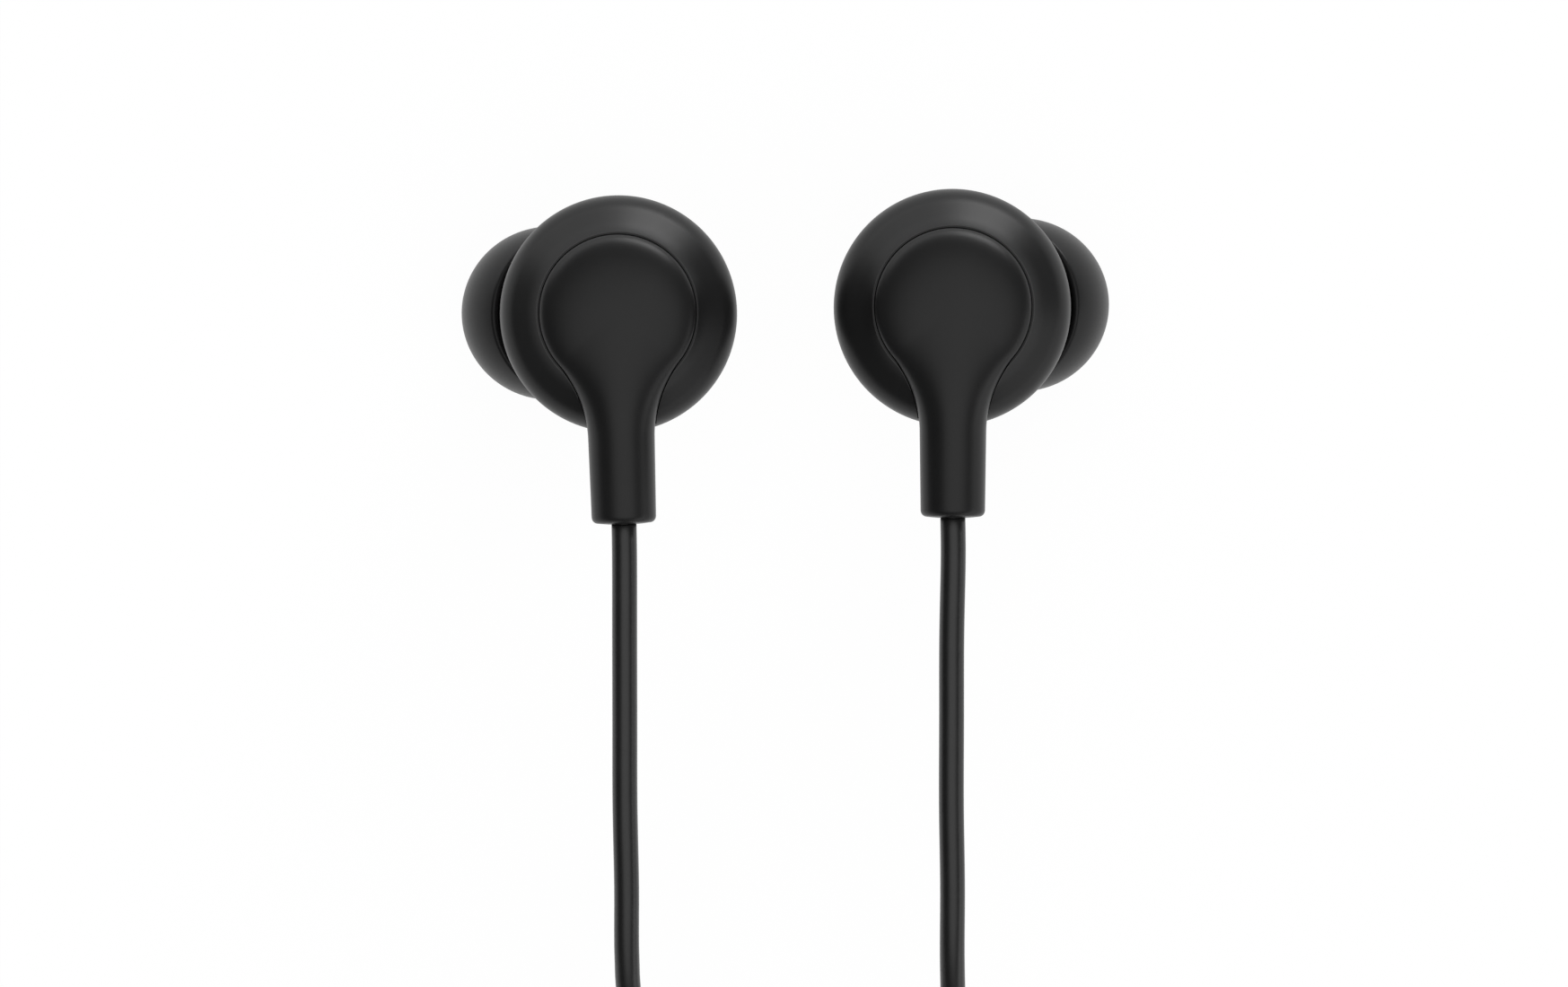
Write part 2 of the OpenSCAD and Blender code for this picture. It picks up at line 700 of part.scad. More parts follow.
module magnet() {
    color("silver") disc(plate_back_z, magnet_back_z, top_plate_r - magnet_inset);
}

module yoke() {
    color("lightgray") difference() {
        disc(yoke_front_z, yoke_back_z, yoke_r);
        disc(yoke_front_z - over, magnet_back_z, yoke_bore_r);
    }
}

module damping_paper() {
    color("ivory") tube(back_z, back_z + paper_t, yoke_r + slide_gap, seat_r - slide_gap);
}

module terminal_board() {
    color("darkgreen") disc(board_z, board_z + board_t, board_d / 2);
}

// ---- Cord in the stem ----

module cord_end() {
    color(CORD_BLACK) along_stem() disc(0, stop_depth + stop_len + cord_tail, cord_r);
}

module cord_stop() {
    color("silver") along_stem() tube(stop_depth, stop_depth + stop_len, cord_r + seat_gap, stop_d / 2);
}

// Two wires from the cord's end to their solder joints on the board
module lead_wires() {
    reach = stop_depth + stop_len + cord_tail;
    start = [0, -stem_y, stem_end_z] + reach * [0, cos(stem_tilt), sin(stem_tilt)];
    joint_z = board_z + board_t;
    for (s = [-1, 1]) {
        p = start + [s * wire_half, 0, 0];
        q = [s * joint_half, -joint_y, joint_z + joint_h - wire_d];
        color("goldenrod") wire(p, q);
        color("silver") translate([s * joint_half, -joint_y, 0]) disc(joint_z, joint_z + joint_h, joint_d / 2);
    }
}

module wire(p, q) {
    d = q - p;
    translate(p) rotate([0, acos(d[2] / norm(d)), atan2(d[1], d[0])]) cylinder(h = norm(d), r = wire_d / 2);
}

// ---- Free cord ----

module cord(p) {
    color(CORD_BLACK) sweep(p);
}

module coil(centre) {
    color(CORD_BLACK) translate([centre[0], centre[1], 0]) rotate_extrude()
        translate([coil_in, tie_t]) square([coil_out - coil_in, coil_top - tie_t]);
}

// Strap round the coil's section, on its left side
module tie(centre) {
    hole = [coil_out - coil_in, coil_top - tie_t] + 2 * seat_gap * [1, 1];
    color("dimgray") translate([centre[0], centre[1], 0]) rotate([0, 0, 180 - tie_angle / 2])
        rotate_extrude(angle = tie_angle) difference() {
            translate([coil_in - seat_gap - tie_t, 0]) square([hole[0] + 2 * tie_t, hole[1] + 2 * tie_t - seat_gap]);
            translate([coil_in - seat_gap, tie_t - seat_gap]) square(hole);
        }
}

// Turned body with rounded ends, its bores cut by the children
module rounded_bar(len, r, round) {
    rotate_extrude() polygon(concat(
        [[0, 0]],
        arc([r - round, round], round, -90, 0),
        arc([r - round, len - round], round, 0, 90),
        [[0, len]]
    ));
}

module y_split() {
    color(RUBBER_BLACK) along_y(SPLIT - [0, split_len, 0]) difference() {
        rounded_bar(split_len, split_d / 2, split_round);
        disc(-over, cord_in, cord_r + slide_gap);
        for (s = [-1, 1]) translate([s * split_half, 0, 0])
            disc(split_len - cord_in, split_len + over, cord_r + slide_gap);
    }
}

// ---- Plug ----

// Tube from the plug's root, with a wider head
module plug_layer(inner, head_start, head_end, head_r) {
    tube(-plug_root, head_end, inner, inner + tube_wall);
    tube(head_start, head_end, inner, head_r);
}

module plug_sleeve() {
    color("gold") along_plug() plug_layer(sleeve_r, 0, sleeve_len, contact_r);
}

module plug_ring_insulator() {
    color("black") along_plug() plug_layer(ring_tube_r, sleeve_len, ring_t, insul_r);
}

module plug_ring() {
    color("gold") along_plug() plug_layer(ring_r, ring_t, tip_insul_t, contact_r);
}

module plug_tip_insulator() {
    color("black") along_plug() plug_layer(tip_tube_r, tip_insul_t, tip_t, insul_r);
}

// Rod with the notched nose that a socket's spring holds
module plug_tip() {
    color("gold") along_plug() {
        disc(-plug_root, rod_end_t, rod_r);
        translate([0, 0, tip_t]) rotate_extrude()
            polygon(concat([[0, 0]], [for (p = NOSE) [contact_r * p[0], tip_len * p[1]]], [[0, tip_len]]));
    }
}

module plug_body() {
    color(RUBBER_BLACK) along_plug(-body_len) difference() {
        rounded_bar(body_len, body_d / 2, body_round);
        disc(body_len - plug_root, body_len + over, root_r + seat_gap);
    }
}

module plug_relief() {
    pitch = relief_len / (relief_grooves + 1);
    color(RUBBER_BLACK) along_plug(-body_len - relief_len) difference() {
        relief_cone(0);
        disc(-over, cord_in, cord_r + slide_gap);
        for (i = [1:relief_grooves]) difference() {
            disc(i * pitch - relief_groove_w / 2, i * pitch + relief_groove_w / 2, relief_d);
            relief_cone(relief_groove_t);
        }
    }
}

// The strain relief's taper, pulled in by g
module relief_cone(g) {
    cylinder(h = relief_len, r1 = relief_end_d / 2 - g, r2 = relief_d / 2 - g);
}

// ---- Nodes ----

bud(LEFT) ear_tip(LEFT);  // left_ear_tip
bud(LEFT) front_shell(LEFT);  // left_front_shell
bud(LEFT) nozzle_mesh(LEFT);  // left_nozzle_mesh
bud(LEFT) rear_shell();  // left_rear_shell
bud(LEFT) back_cover();  // left_back_cover
bud(LEFT) driver_cap();  // left_driver_cap
bud(LEFT) diaphragm();  // left_diaphragm
bud(LEFT) surround();  // left_surround
bud(LEFT) voice_coil();  // left_voice_coil
bud(LEFT) driver_frame();  // left_driver_frame
bud(LEFT) top_plate();  // left_top_plate
bud(LEFT) magnet();  // left_magnet
bud(LEFT) yoke();  // left_yoke
bud(LEFT) damping_paper();  // left_damping_paper
bud(LEFT) terminal_board();  // left_terminal_board
bud(LEFT) cord_end();  // left_cord_end
bud(LEFT) cord_stop();  // left_cord_stop
bud(LEFT) lead_wires();  // left_lead_wires

bud(RIGHT) ear_tip(RIGHT);  // right_ear_tip
bud(RIGHT) front_shell(RIGHT);  // right_front_shell
bud(RIGHT) nozzle_mesh(RIGHT);  // right_nozzle_mesh
bud(RIGHT) rear_shell();  // right_rear_shell
bud(RIGHT) back_cover();  // right_back_cover
bud(RIGHT) driver_cap();  // right_driver_cap
bud(RIGHT) diaphragm();  // right_diaphragm
bud(RIGHT) surround();  // right_surround
bud(RIGHT) voice_coil();  // right_voice_coil
bud(RIGHT) driver_frame();  // right_driver_frame
bud(RIGHT) top_plate();  // right_top_plate
bud(RIGHT) magnet();  // right_magnet
bud(RIGHT) yoke();  // right_yoke
bud(RIGHT) damping_paper();  // right_damping_paper
bud(RIGHT) terminal_board();  // right_terminal_board
bud(RIGHT) cord_end();  // right_cord_end
bud(RIGHT) cord_stop();  // right_cord_stop
bud(RIGHT) lead_wires();  // right_lead_wires

cord(concat([stem_end(LEFT)], LEFT_ROUTE));  // left_lead
cord(concat([stem_end(RIGHT)], RIGHT_ROUTE));  // right_lead
coil(LEAD_COIL);  // lead_coil
tie(LEAD_COIL);  // lead_tie
cord(LEFT_RUN);  // left_lead_run
cord(RIGHT_RUN);  // right_lead_run
y_split();
cord(MAIN_ROUTE);  // main_lead
coil(MAIN_COIL);  // main_coil
tie(MAIN_COIL);  // main_tie
cord(PLUG_ROUTE);  // plug_cord
plug_relief();
plug_body();
plug_sleeve();
plug_ring_insulator();
plug_ring();
plug_tip_insulator();
plug_tip();
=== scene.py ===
"""Wired in-ear earphones lying face up on a table: buds, leads, Y-split, coils and plug."""

import logging
import math
from dataclasses import dataclass
from enum import Enum

import bmesh
import bpy
import numpy as np
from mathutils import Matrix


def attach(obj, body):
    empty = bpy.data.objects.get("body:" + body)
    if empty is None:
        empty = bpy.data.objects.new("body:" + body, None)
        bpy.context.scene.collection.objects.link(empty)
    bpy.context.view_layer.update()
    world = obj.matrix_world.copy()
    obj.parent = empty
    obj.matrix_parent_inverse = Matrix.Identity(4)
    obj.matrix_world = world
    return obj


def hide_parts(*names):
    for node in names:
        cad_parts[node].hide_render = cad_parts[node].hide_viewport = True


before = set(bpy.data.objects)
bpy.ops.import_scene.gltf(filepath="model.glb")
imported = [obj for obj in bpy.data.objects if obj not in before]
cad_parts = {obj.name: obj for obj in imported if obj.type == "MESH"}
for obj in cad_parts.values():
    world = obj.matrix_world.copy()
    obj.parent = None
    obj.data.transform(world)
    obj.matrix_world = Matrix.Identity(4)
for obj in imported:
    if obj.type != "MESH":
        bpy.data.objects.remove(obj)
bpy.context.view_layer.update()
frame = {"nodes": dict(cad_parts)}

LOG = logging.getLogger("earphones")
MM = 0.001
BODY = "earphones"
Pair = tuple[float, float]
Triple = tuple[float, float, float]
Socket = bpy.types.NodeSocket
Piece = bpy.types.Object
END_ROUND = 0.12


class Side(Enum):
    """Which bud of the pair, as its sign along X."""

    LEFT = -1
    RIGHT = 1

    @property
    def word(self) -> str:
        """The side's name in the CAD nodes."""
        return self.name.lower()


# ---------------------------------------------------------------- placing


def sin_d(degrees: float) -> float:
    """Sine of an angle in degrees."""
    return math.sin(math.radians(degrees))


def cos_d(degrees: float) -> float:
    """Cosine of an angle in degrees."""
    return math.cos(math.radians(degrees))


def turn(axis: str, degrees: float) -> np.ndarray:
    """Rotation about one axis through the origin.

    Args:
        axis: "X", "Y" or "Z".
        degrees: Angle by the right-hand rule.

    Returns:
        The 4 by 4 matrix.
    """
    c, s = cos_d(degrees), sin_d(degrees)
    i, j = {"X": (1, 2), "Y": (2, 0), "Z": (0, 1)}[axis]
    m = np.eye(4)
    m[i, i] = m[j, j] = c
    m[i, j], m[j, i] = -s, s
    return m


def shift(x: float, y: float, z: float) -> np.ndarray:
    """Translation by (x, y, z), as a 4 by 4 matrix."""
    m = np.eye(4)
    m[:3, 3] = x, y, z
    return m


def placed(points: np.ndarray, matrix: np.ndarray) -> np.ndarray:
    """Points of any grid, moved by a 4 by 4 matrix."""
    return points @ matrix[:3, :3].T + matrix[:3, 3]


# ---------------------------------------------------------------- skins


@dataclass
class Skin:
    """A grid of points in millimetres that becomes one smooth mesh.

    The two directions of the grid are rows (first index) and columns (second index). The last
    column always joins the first, and the last row does where the rows wrap.
    """

    name: str
    grid: np.ndarray
    wrap_rows: bool = False
    sharp: float = 50.0
    merge: float = 2e-7
    sliver: float = 1e-8

    def build(self) -> Piece:
        """Joins each point to its neighbours in row and column, then closes the mesh.

        Returns:
            The mesh object, at the origin and in metres. Its UV map has the rows along U and the
            columns along V.
        """
        rows, columns = self.grid.shape[:2]
        a = np.arange(rows - (0 if self.wrap_rows else 1))
        i, j = np.meshgrid(a, np.arange(columns), indexing="ij")
        i2, j2 = (i + 1) % rows, (j + 1) % columns
        quads = [i * columns + j, i2 * columns + j, i2 * columns + j2, i * columns + j2]
        quads = np.stack(quads, -1).reshape(-1, 4)
        mesh = bpy.data.meshes.new(self.name)
        mesh.from_pydata((self.grid.reshape(-1, 3) * MM).tolist(), [], quads.tolist())
        corners = np.stack([i, j, i + 1, j, i + 1, j + 1, i, j + 1], -1).reshape(-1, 2)
        corners = (corners / [rows - 1, columns - 1]).astype(np.float32)
        mesh.uv_layers.new(name="UVMap").data.foreach_set("uv", corners.ravel())
        obj = bpy.data.objects.new(self.name, mesh)
        bpy.context.scene.collection.objects.link(obj)
        self._close(mesh)
        mesh.shade_smooth()
        mesh.set_sharp_from_angle(angle=math.radians(self.sharp))
        return obj

    def _close(self, mesh: bpy.types.Mesh) -> None:
        """Merges poles and seams, and turns the faces outward by the sign of the volume."""
        work = bmesh.new()
        work.from_mesh(mesh)
        bmesh.ops.remove_doubles(work, verts=work.verts, dist=self.merge)
        bmesh.ops.dissolve_degenerate(work, edges=work.edges, dist=self.sliver)
        bmesh.ops.recalc_face_normals(work, faces=work.faces)
        if work.calc_volume(signed=True) < 0:
            bmesh.ops.reverse_faces(work, faces=work.faces)
        work.to_mesh(mesh)
        work.free()


def arc(centre: Pair, radius: float, start: float, end: float, count: int) -> np.ndarray:
    """Points of an arc in a plane.

    Args:
        centre: Its middle.
        radius: Its radius.
        start: First angle in degrees.
        end: Last angle in degrees.
        count: How many points.

    Returns:
        Array of count by 2: centre + radius times (cos, sin) of evenly spaced angles.
    """
    a = np.radians(np.linspace(start, end, count))
    return np.array(centre) + radius * np.stack([np.cos(a), np.sin(a)], 1)


def chain(*parts: np.ndarray | list) -> np.ndarray:
    """One profile of (radius, height) from several runs of points."""
    return np.concatenate([np.asarray(p, float).reshape(-1, 2) for p in parts])


def turned(profile: np.ndarray, count: int = 128) -> np.ndarray:
    """Turns a profile of (radius, height) about Z.

    Args:
        profile: Array of n by 2.
        count: Steps round the axis.

    Returns:
        Grid of n by count by 3: (r cos a, r sin a, h) at each angle a.
    """
    a = np.linspace(0, 2 * np.pi, count, endpoint=False)
    r, h = profile[:, :1], profile[:, 1:]
    return np.stack([r * np.cos(a), r * np.sin(a), h + 0 * a], -1)


def smooth_path(points: np.ndarray, step: float) -> np.ndarray:
    """Centripetal Catmull-Rom curve through the points, resampled at even steps.

    Each piece between two points is the cubic with the slope at each end that its two
    neighbours give, weighted by the square roots of their distances.

    Args:
        points: Array of n by 3.
        step: Distance between samples.

    Returns:
        Array of samples by 3, with both ends kept.
    """
    p = np.concatenate([[2 * points[0] - points[1]], points, [2 * points[-1] - points[-2]]])
    t = np.concatenate([[0], np.cumsum(np.sqrt(np.linalg.norm(np.diff(p, axis=0), axis=1)))])
    slope = np.diff(p, axis=0) / np.diff(t)[:, None]
    w = (np.diff(t)[1:] / (np.diff(t)[1:] + np.diff(t)[:-1]))[:, None]
    tangent = slope[:-1] * w + slope[1:] * (1 - w)
    gap = np.diff(t)[1:-1][:, None, None]
    u = np.linspace(0, 1, 24, endpoint=False)[None, :, None]
    start, end = p[1:-2][:, None], p[2:-1][:, None]
    ta, tb = tangent[:-1][:, None] * gap, tangent[1:][:, None] * gap
    fine = (
        (2 * u**3 - 3 * u**2 + 1) * start
        + (u**3 - 2 * u**2 + u) * ta
        + (3 * u**2 - 2 * u**3) * end
        + (u**3 - u**2) * tb
    ).reshape(-1, 3)
    fine = np.concatenate([fine, points[-1:]])
    run = np.concatenate([[0], np.cumsum(np.linalg.norm(np.diff(fine, axis=0), axis=1))])
    at = np.linspace(0, run[-1], max(2, int(round(run[-1] / step)) + 1))
    return np.stack([np.interp(at, run, fine[:, k]) for k in range(3)], 1)


def swept(path: np.ndarray, radius: float, count: int = 16) -> np.ndarray:
    """Round tube carried along a path.

    Each ring stands square to the path's heading: its first direction is heading x Z, and its
    second completes the frame. Both ends are closed with a shrunk ring.

    Args:
        path: Array of n by 3, in millimetres.
        radius: The tube's radius.
        count: Points round the tube.

    Returns:
        Grid of n + 4 by count by 3.
    """
    heading = np.gradient(path, axis=0)
    heading /= np.linalg.norm(heading, axis=1)[:, None]
    across = np.cross(heading, [0.0, 0.0, 1.0])
    across /= np.linalg.norm(across, axis=1)[:, None]
    up = np.cross(across, heading)
    a = np.linspace(0, 2 * np.pi, count, endpoint=False)[None, :, None]
    ring = np.cos(a) * across[:, None] + np.sin(a) * up[:, None]
    body = path[:, None] + radius * ring
    edge = END_ROUND * radius
    first = path[0] + (radius - edge) * ring[:1]
    last = path[-1] + (radius - edge) * ring[-1:]
    body[0] += heading[0] * edge
    body[-1] -= heading[-1] * edge
    return np.concatenate([path[0] + 0 * ring[:1], first, body, last, path[-1] + 0 * ring[-1:]])


# ---------------------------------------------------------------- finishes


class Nodes:
    """A node tree, with short ways to add and join nodes."""

    def __init__(self, tree: bpy.types.NodeTree) -> None:
        """Keeps the tree.

        Args:
            tree: The node tree to add to.
        """
        self.tree = tree

    def add(self, kind: str, **values: object) -> bpy.types.Node:
        """Adds a node.

        Args:
            kind: Its type without "ShaderNode".
            **values: Properties by name, or sockets by name with spaces as underscores.

        Returns:
            The node.
        """
        node = self.tree.nodes.new("ShaderNode" + kind)
        for key, value in values.items():
            if hasattr(node, key):
                setattr(node, key, value)
            else:
                node.inputs[key.replace("_", " ")].default_value = value
        return node

    def join(self, source: Socket, target: Socket) -> None:
        """Links an output to an input."""
        self.tree.links.new(source, target)

    def maths(self, operation: str, *values: Socket | float) -> Socket:
        """Adds one sum.

        Args:
            operation: The sum's kind.
            *values: Its inputs, as sockets or numbers.

        Returns:
            The result's socket.
        """
        node = self.add("Math", operation=operation)
        for socket, value in zip(node.inputs, values):
            if isinstance(value, Socket):
                self.join(value, socket)
            else:
                socket.default_value = value
        return node.outputs[0]

    def step(self, value: Socket, low: float, high: float) -> Socket:
        """Smooth step from 0 at low to 1 at high, or downwards where low is the larger.

        Args:
            value: What is compared.
            low: Where the step is 0.
            high: Where it is 1.

        Returns:
            The step's socket.
        """
        node = self.add(
            "MapRange",
            interpolation_type="SMOOTHSTEP",
            From_Min=min(low, high),
            From_Max=max(low, high),
            To_Min=float(low > high),
            To_Max=float(low < high),
        )
        self.join(value, node.inputs["Value"])
        return node.outputs["Result"]


class Coat(Nodes):
    """A material's nodes: a Principled shader on its output, and the piece's coordinates."""

    def __init__(self, name: str) -> None:
        """Starts the material.

        Args:
            name: The material's name.
        """
        self.material = bpy.data.materials.new(name)
        self.material.use_nodes = True
        super().__init__(self.material.node_tree)
        self.shader = self.tree.nodes["Principled BSDF"]
        self.coordinates = self.add("TexCoord")

    def noise(self, size: float, detail: float, roughness: float) -> Socket:
        """Noise on the piece's own coordinates.

        Args:
            size: Of a feature, in metres.
            detail: Octaves.
            roughness: Weight of the finer octaves.

        Returns:
            The noise's socket, mostly from 0.3 to 0.7.
        """
        node = self.add("TexNoise", Scale=1 / size, Detail=detail, Roughness=roughness)
        self.join(self.coordinates.outputs["Object"], node.inputs["Vector"])
        return node.outputs[0]

    def spread(self, source: Socket, low: float, high: float) -> Socket:
        """Maps noise about its middle onto the range from low to high.

        Args:
            source: A value that lies mostly from 0.3 to 0.7.
            low: What 0.3 becomes.
            high: What 0.7 becomes.

        Returns:
            The mapped value's socket.
        """
        node = self.add("MapRange", From_Min=0.3, From_Max=0.7, To_Min=low, To_Max=high)
        self.join(source, node.inputs["Value"])
        return node.outputs["Result"]

    def tint(self, source: Socket, dark: tuple, light: tuple) -> Socket:
        """Mixes two colours by a value from 0 to 1.

        Args:
            source: The value.
            dark: Colour at 0.
            light: Colour at 1.

        Returns:
            The colour's socket.
        """
        node = self.add("Mix", data_type="RGBA")
        node.inputs[6].default_value = (*dark, 1)
        node.inputs[7].default_value = (*light, 1)
        self.join(source, node.inputs[0])
        return node.outputs[2]

    def relief(self, source: Socket, height: float, under: Socket | None = None) -> Socket:
        """Bump from a height field.

        Args:
            source: The field, from 0 to 1.
            height: What 1 stands for, in metres.
            under: Normal of a bump beneath this one.

        Returns:
            The normal's socket.
        """
        node = self.add("Bump", Strength=1.0, Distance=height)
        self.join(source, node.inputs["Height"])
        if under is not None:
            self.join(under, node.inputs["Normal"])
        return node.outputs["Normal"]

    def set(self, **values: object) -> None:
        """Sets the shader's own sockets, with spaces as underscores."""
        for key, value in values.items():
            self.shader.inputs[key.replace("_", " ")].default_value = value

    def use(self, **sockets: Socket) -> None:
        """Links sockets to the shader's inputs, with spaces as underscores."""
        for key, socket in sockets.items():
            self.join(socket, self.shader.inputs[key.replace("_", " ")])


@dataclass(frozen=True)
class Moulded:
    """Fine-grained black plastic, silicone or cord jacket. Sizes in metres.

    The grain is noise of the given size, with a softer, larger unevenness below it and a faint
    change of colour.
    """

    name: str
    dark: Triple
    light: Triple
    roughness: float
    grain: float
    grain_height: float
    wave: float
    wave_height: float
    specular: float = 0.5
    uneven: float = 0.04

    def material(self) -> bpy.types.Material:
        """Builds the node tree."""
        coat = Coat(self.name)
        grain = coat.noise(self.grain, 2.0, 0.6)
        wave = coat.noise(self.wave, 3.0, 0.5)
        low, high = self.roughness - self.uneven, self.roughness + self.uneven
        coat.use(
            Base_Color=coat.tint(coat.spread(wave, 0, 1), self.dark, self.light),
            Roughness=coat.spread(grain, low, high),
            Normal=coat.relief(grain, self.grain_height, coat.relief(wave, self.wave_height)),
        )
        coat.set(Specular_IOR_Level=self.specular)
        return coat.material


@dataclass(frozen=True)
class Metal:
    """Bright metal with fine brushing or plating, slightly uneven in shade. Sizes in metres."""

    name: str
    dark: Triple
    light: Triple
    roughness: float
    grain: float
    grain_height: float
    uneven: float = 0.06
    cloud: float = 5.0

    def material(self) -> bpy.types.Material:
        """Builds the node tree."""
        coat = Coat(self.name)
        grain = coat.noise(self.grain, 4.0, 0.6)
        cloud = coat.noise(self.cloud * self.grain, 3.0, 0.5)
        low, high = self.roughness - self.uneven, self.roughness + self.uneven
        coat.use(
            Base_Color=coat.tint(coat.spread(cloud, 0, 1), self.dark, self.light),
            Roughness=coat.spread(grain, low, high),
            Normal=coat.relief(grain, self.grain_height),
        )
        coat.set(Metallic=1.0)
        return coat.material


Finish = Moulded | Metal


def grey(level: float, blue: float = 0.0) -> Triple:
    """Grey of a level, with a little more blue."""
    return level, level, level + blue


SHELL = Moulded(
    "soft_touch_shell", grey(0.009, 0.0002), grey(0.011, 0.0002), 0.36, 6e-5, 1e-6, 4e-3, 6e-6, 0.25
)
COVER = Moulded(
    "soft_touch_cover", grey(0.01, 0.0002), grey(0.012, 0.0002), 0.36, 6e-5, 1e-6, 4e-3, 6e-6, 0.25
)
SILICONE = Moulded(
    "silicone", grey(0.008, 0.0003), grey(0.01, 0.0003), 0.36, 9e-5, 1e-6, 3e-3, 1e-5, 0.2
)
JACKET = Moulded(
    "cord_jacket", grey(0.008, 0.0002), grey(0.011, 0.0002), 0.33, 1.2e-4, 3e-6, 2e-3, 1e-5, 0.45
)
STRAP = Moulded("tie_strap", grey(0.02), grey(0.026), 0.55, 2e-4, 1.2e-5, 2e-3, 1e-5)
INSULATOR = Moulded("contact_insulator", grey(0.012), grey(0.016), 0.35, 8e-5, 1e-6, 2e-3, 4e-6)
BOARD = Moulded(
    "solder_mask", (0.02, 0.11, 0.045), (0.03, 0.14, 0.06), 0.35, 1e-4, 2e-6, 8e-4, 4e-6
)
FILM = Moulded("driver_film", (0.62, 0.62, 0.6), (0.72, 0.72, 0.7), 0.25, 1e-4, 1e-6, 1e-3, 6e-6)
PAPER = Moulded(
    "damping_paper", (0.66, 0.63, 0.54), (0.78, 0.75, 0.67), 0.85, 8e-5, 8e-6, 5e-4, 6e-6
)
GOLD = Metal("gold_plate", (0.86, 0.6, 0.26), (0.93, 0.69, 0.35), 0.2, 2e-4, 1e-6)
STEEL = Metal("stamped_steel", grey(0.5), grey(0.6), 0.34, 1.5e-4, 2e-6)
ALUMINIUM = Metal("pressed_aluminium", grey(0.66, 0.01), grey(0.75, 0.01), 0.38, 1.5e-4, 2e-6)
NICKEL = Metal("nickel_plate", (0.55, 0.53, 0.5), (0.65, 0.63, 0.6), 0.18, 2e-4, 1e-6)
WOVEN = Metal("woven_steel", grey(0.2), grey(0.32), 0.42, 1e-4, 3e-6)
COPPER = Metal("enamelled_copper", (0.6, 0.27, 0.13), (0.72, 0.36, 0.19), 0.3, 1e-4, 2e-6)

CAD_FINISHES = {
    "nozzle_mesh": WOVEN,
    "driver_cap": STEEL,
    "diaphragm": FILM,
    "surround": FILM,
    "voice_coil": COPPER,
    "driver_frame": ALUMINIUM,
    "top_plate": STEEL,
    "magnet": NICKEL,
    "yoke": STEEL,
    "damping_paper": PAPER,
    "terminal_board": BOARD,
    "cord_end": JACKET,
    "cord_stop": ALUMINIUM,
    "lead_wires": COPPER,
}


class Paintbox:
    """Makes each finish's material once."""

    def __init__(self) -> None:
        """Starts with no materials."""
        self._made: dict[str, bpy.types.Material] = {}

    def of(self, finish: Finish) -> bpy.types.Material:
        """The material of a finish."""
        if finish.name not in self._made:
            self._made[finish.name] = finish.material()
        return self._made[finish.name]

    def paint(self, obj: Piece, finish: Finish) -> Piece:
        """Gives a piece or a CAD node one finish all over, and returns it."""
        obj.data.materials.clear()
        obj.data.materials.append(self.of(finish))
        return obj


PAINT = Paintbox()


def dressed(skin: Skin, finish: Finish, body: str, slot: str, *nodes: str) -> Piece:
    """Builds a skin, paints it and lets it stand for CAD nodes.

    Args:
        skin: The surface.
        finish: Its finish.
        body: The body that it rides on.
        slot: The record's material slot; not used.
        *nodes: CAD nodes that it replaces.

    Returns:
        The piece.
    """
    piece = PAINT.paint(skin.build(), finish)
    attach(piece, body)
    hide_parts(*nodes)
    LOG.info("%s: %d faces", piece.name, len(piece.data.polygons))
    return piece


# ---------------------------------------------------------------- buds


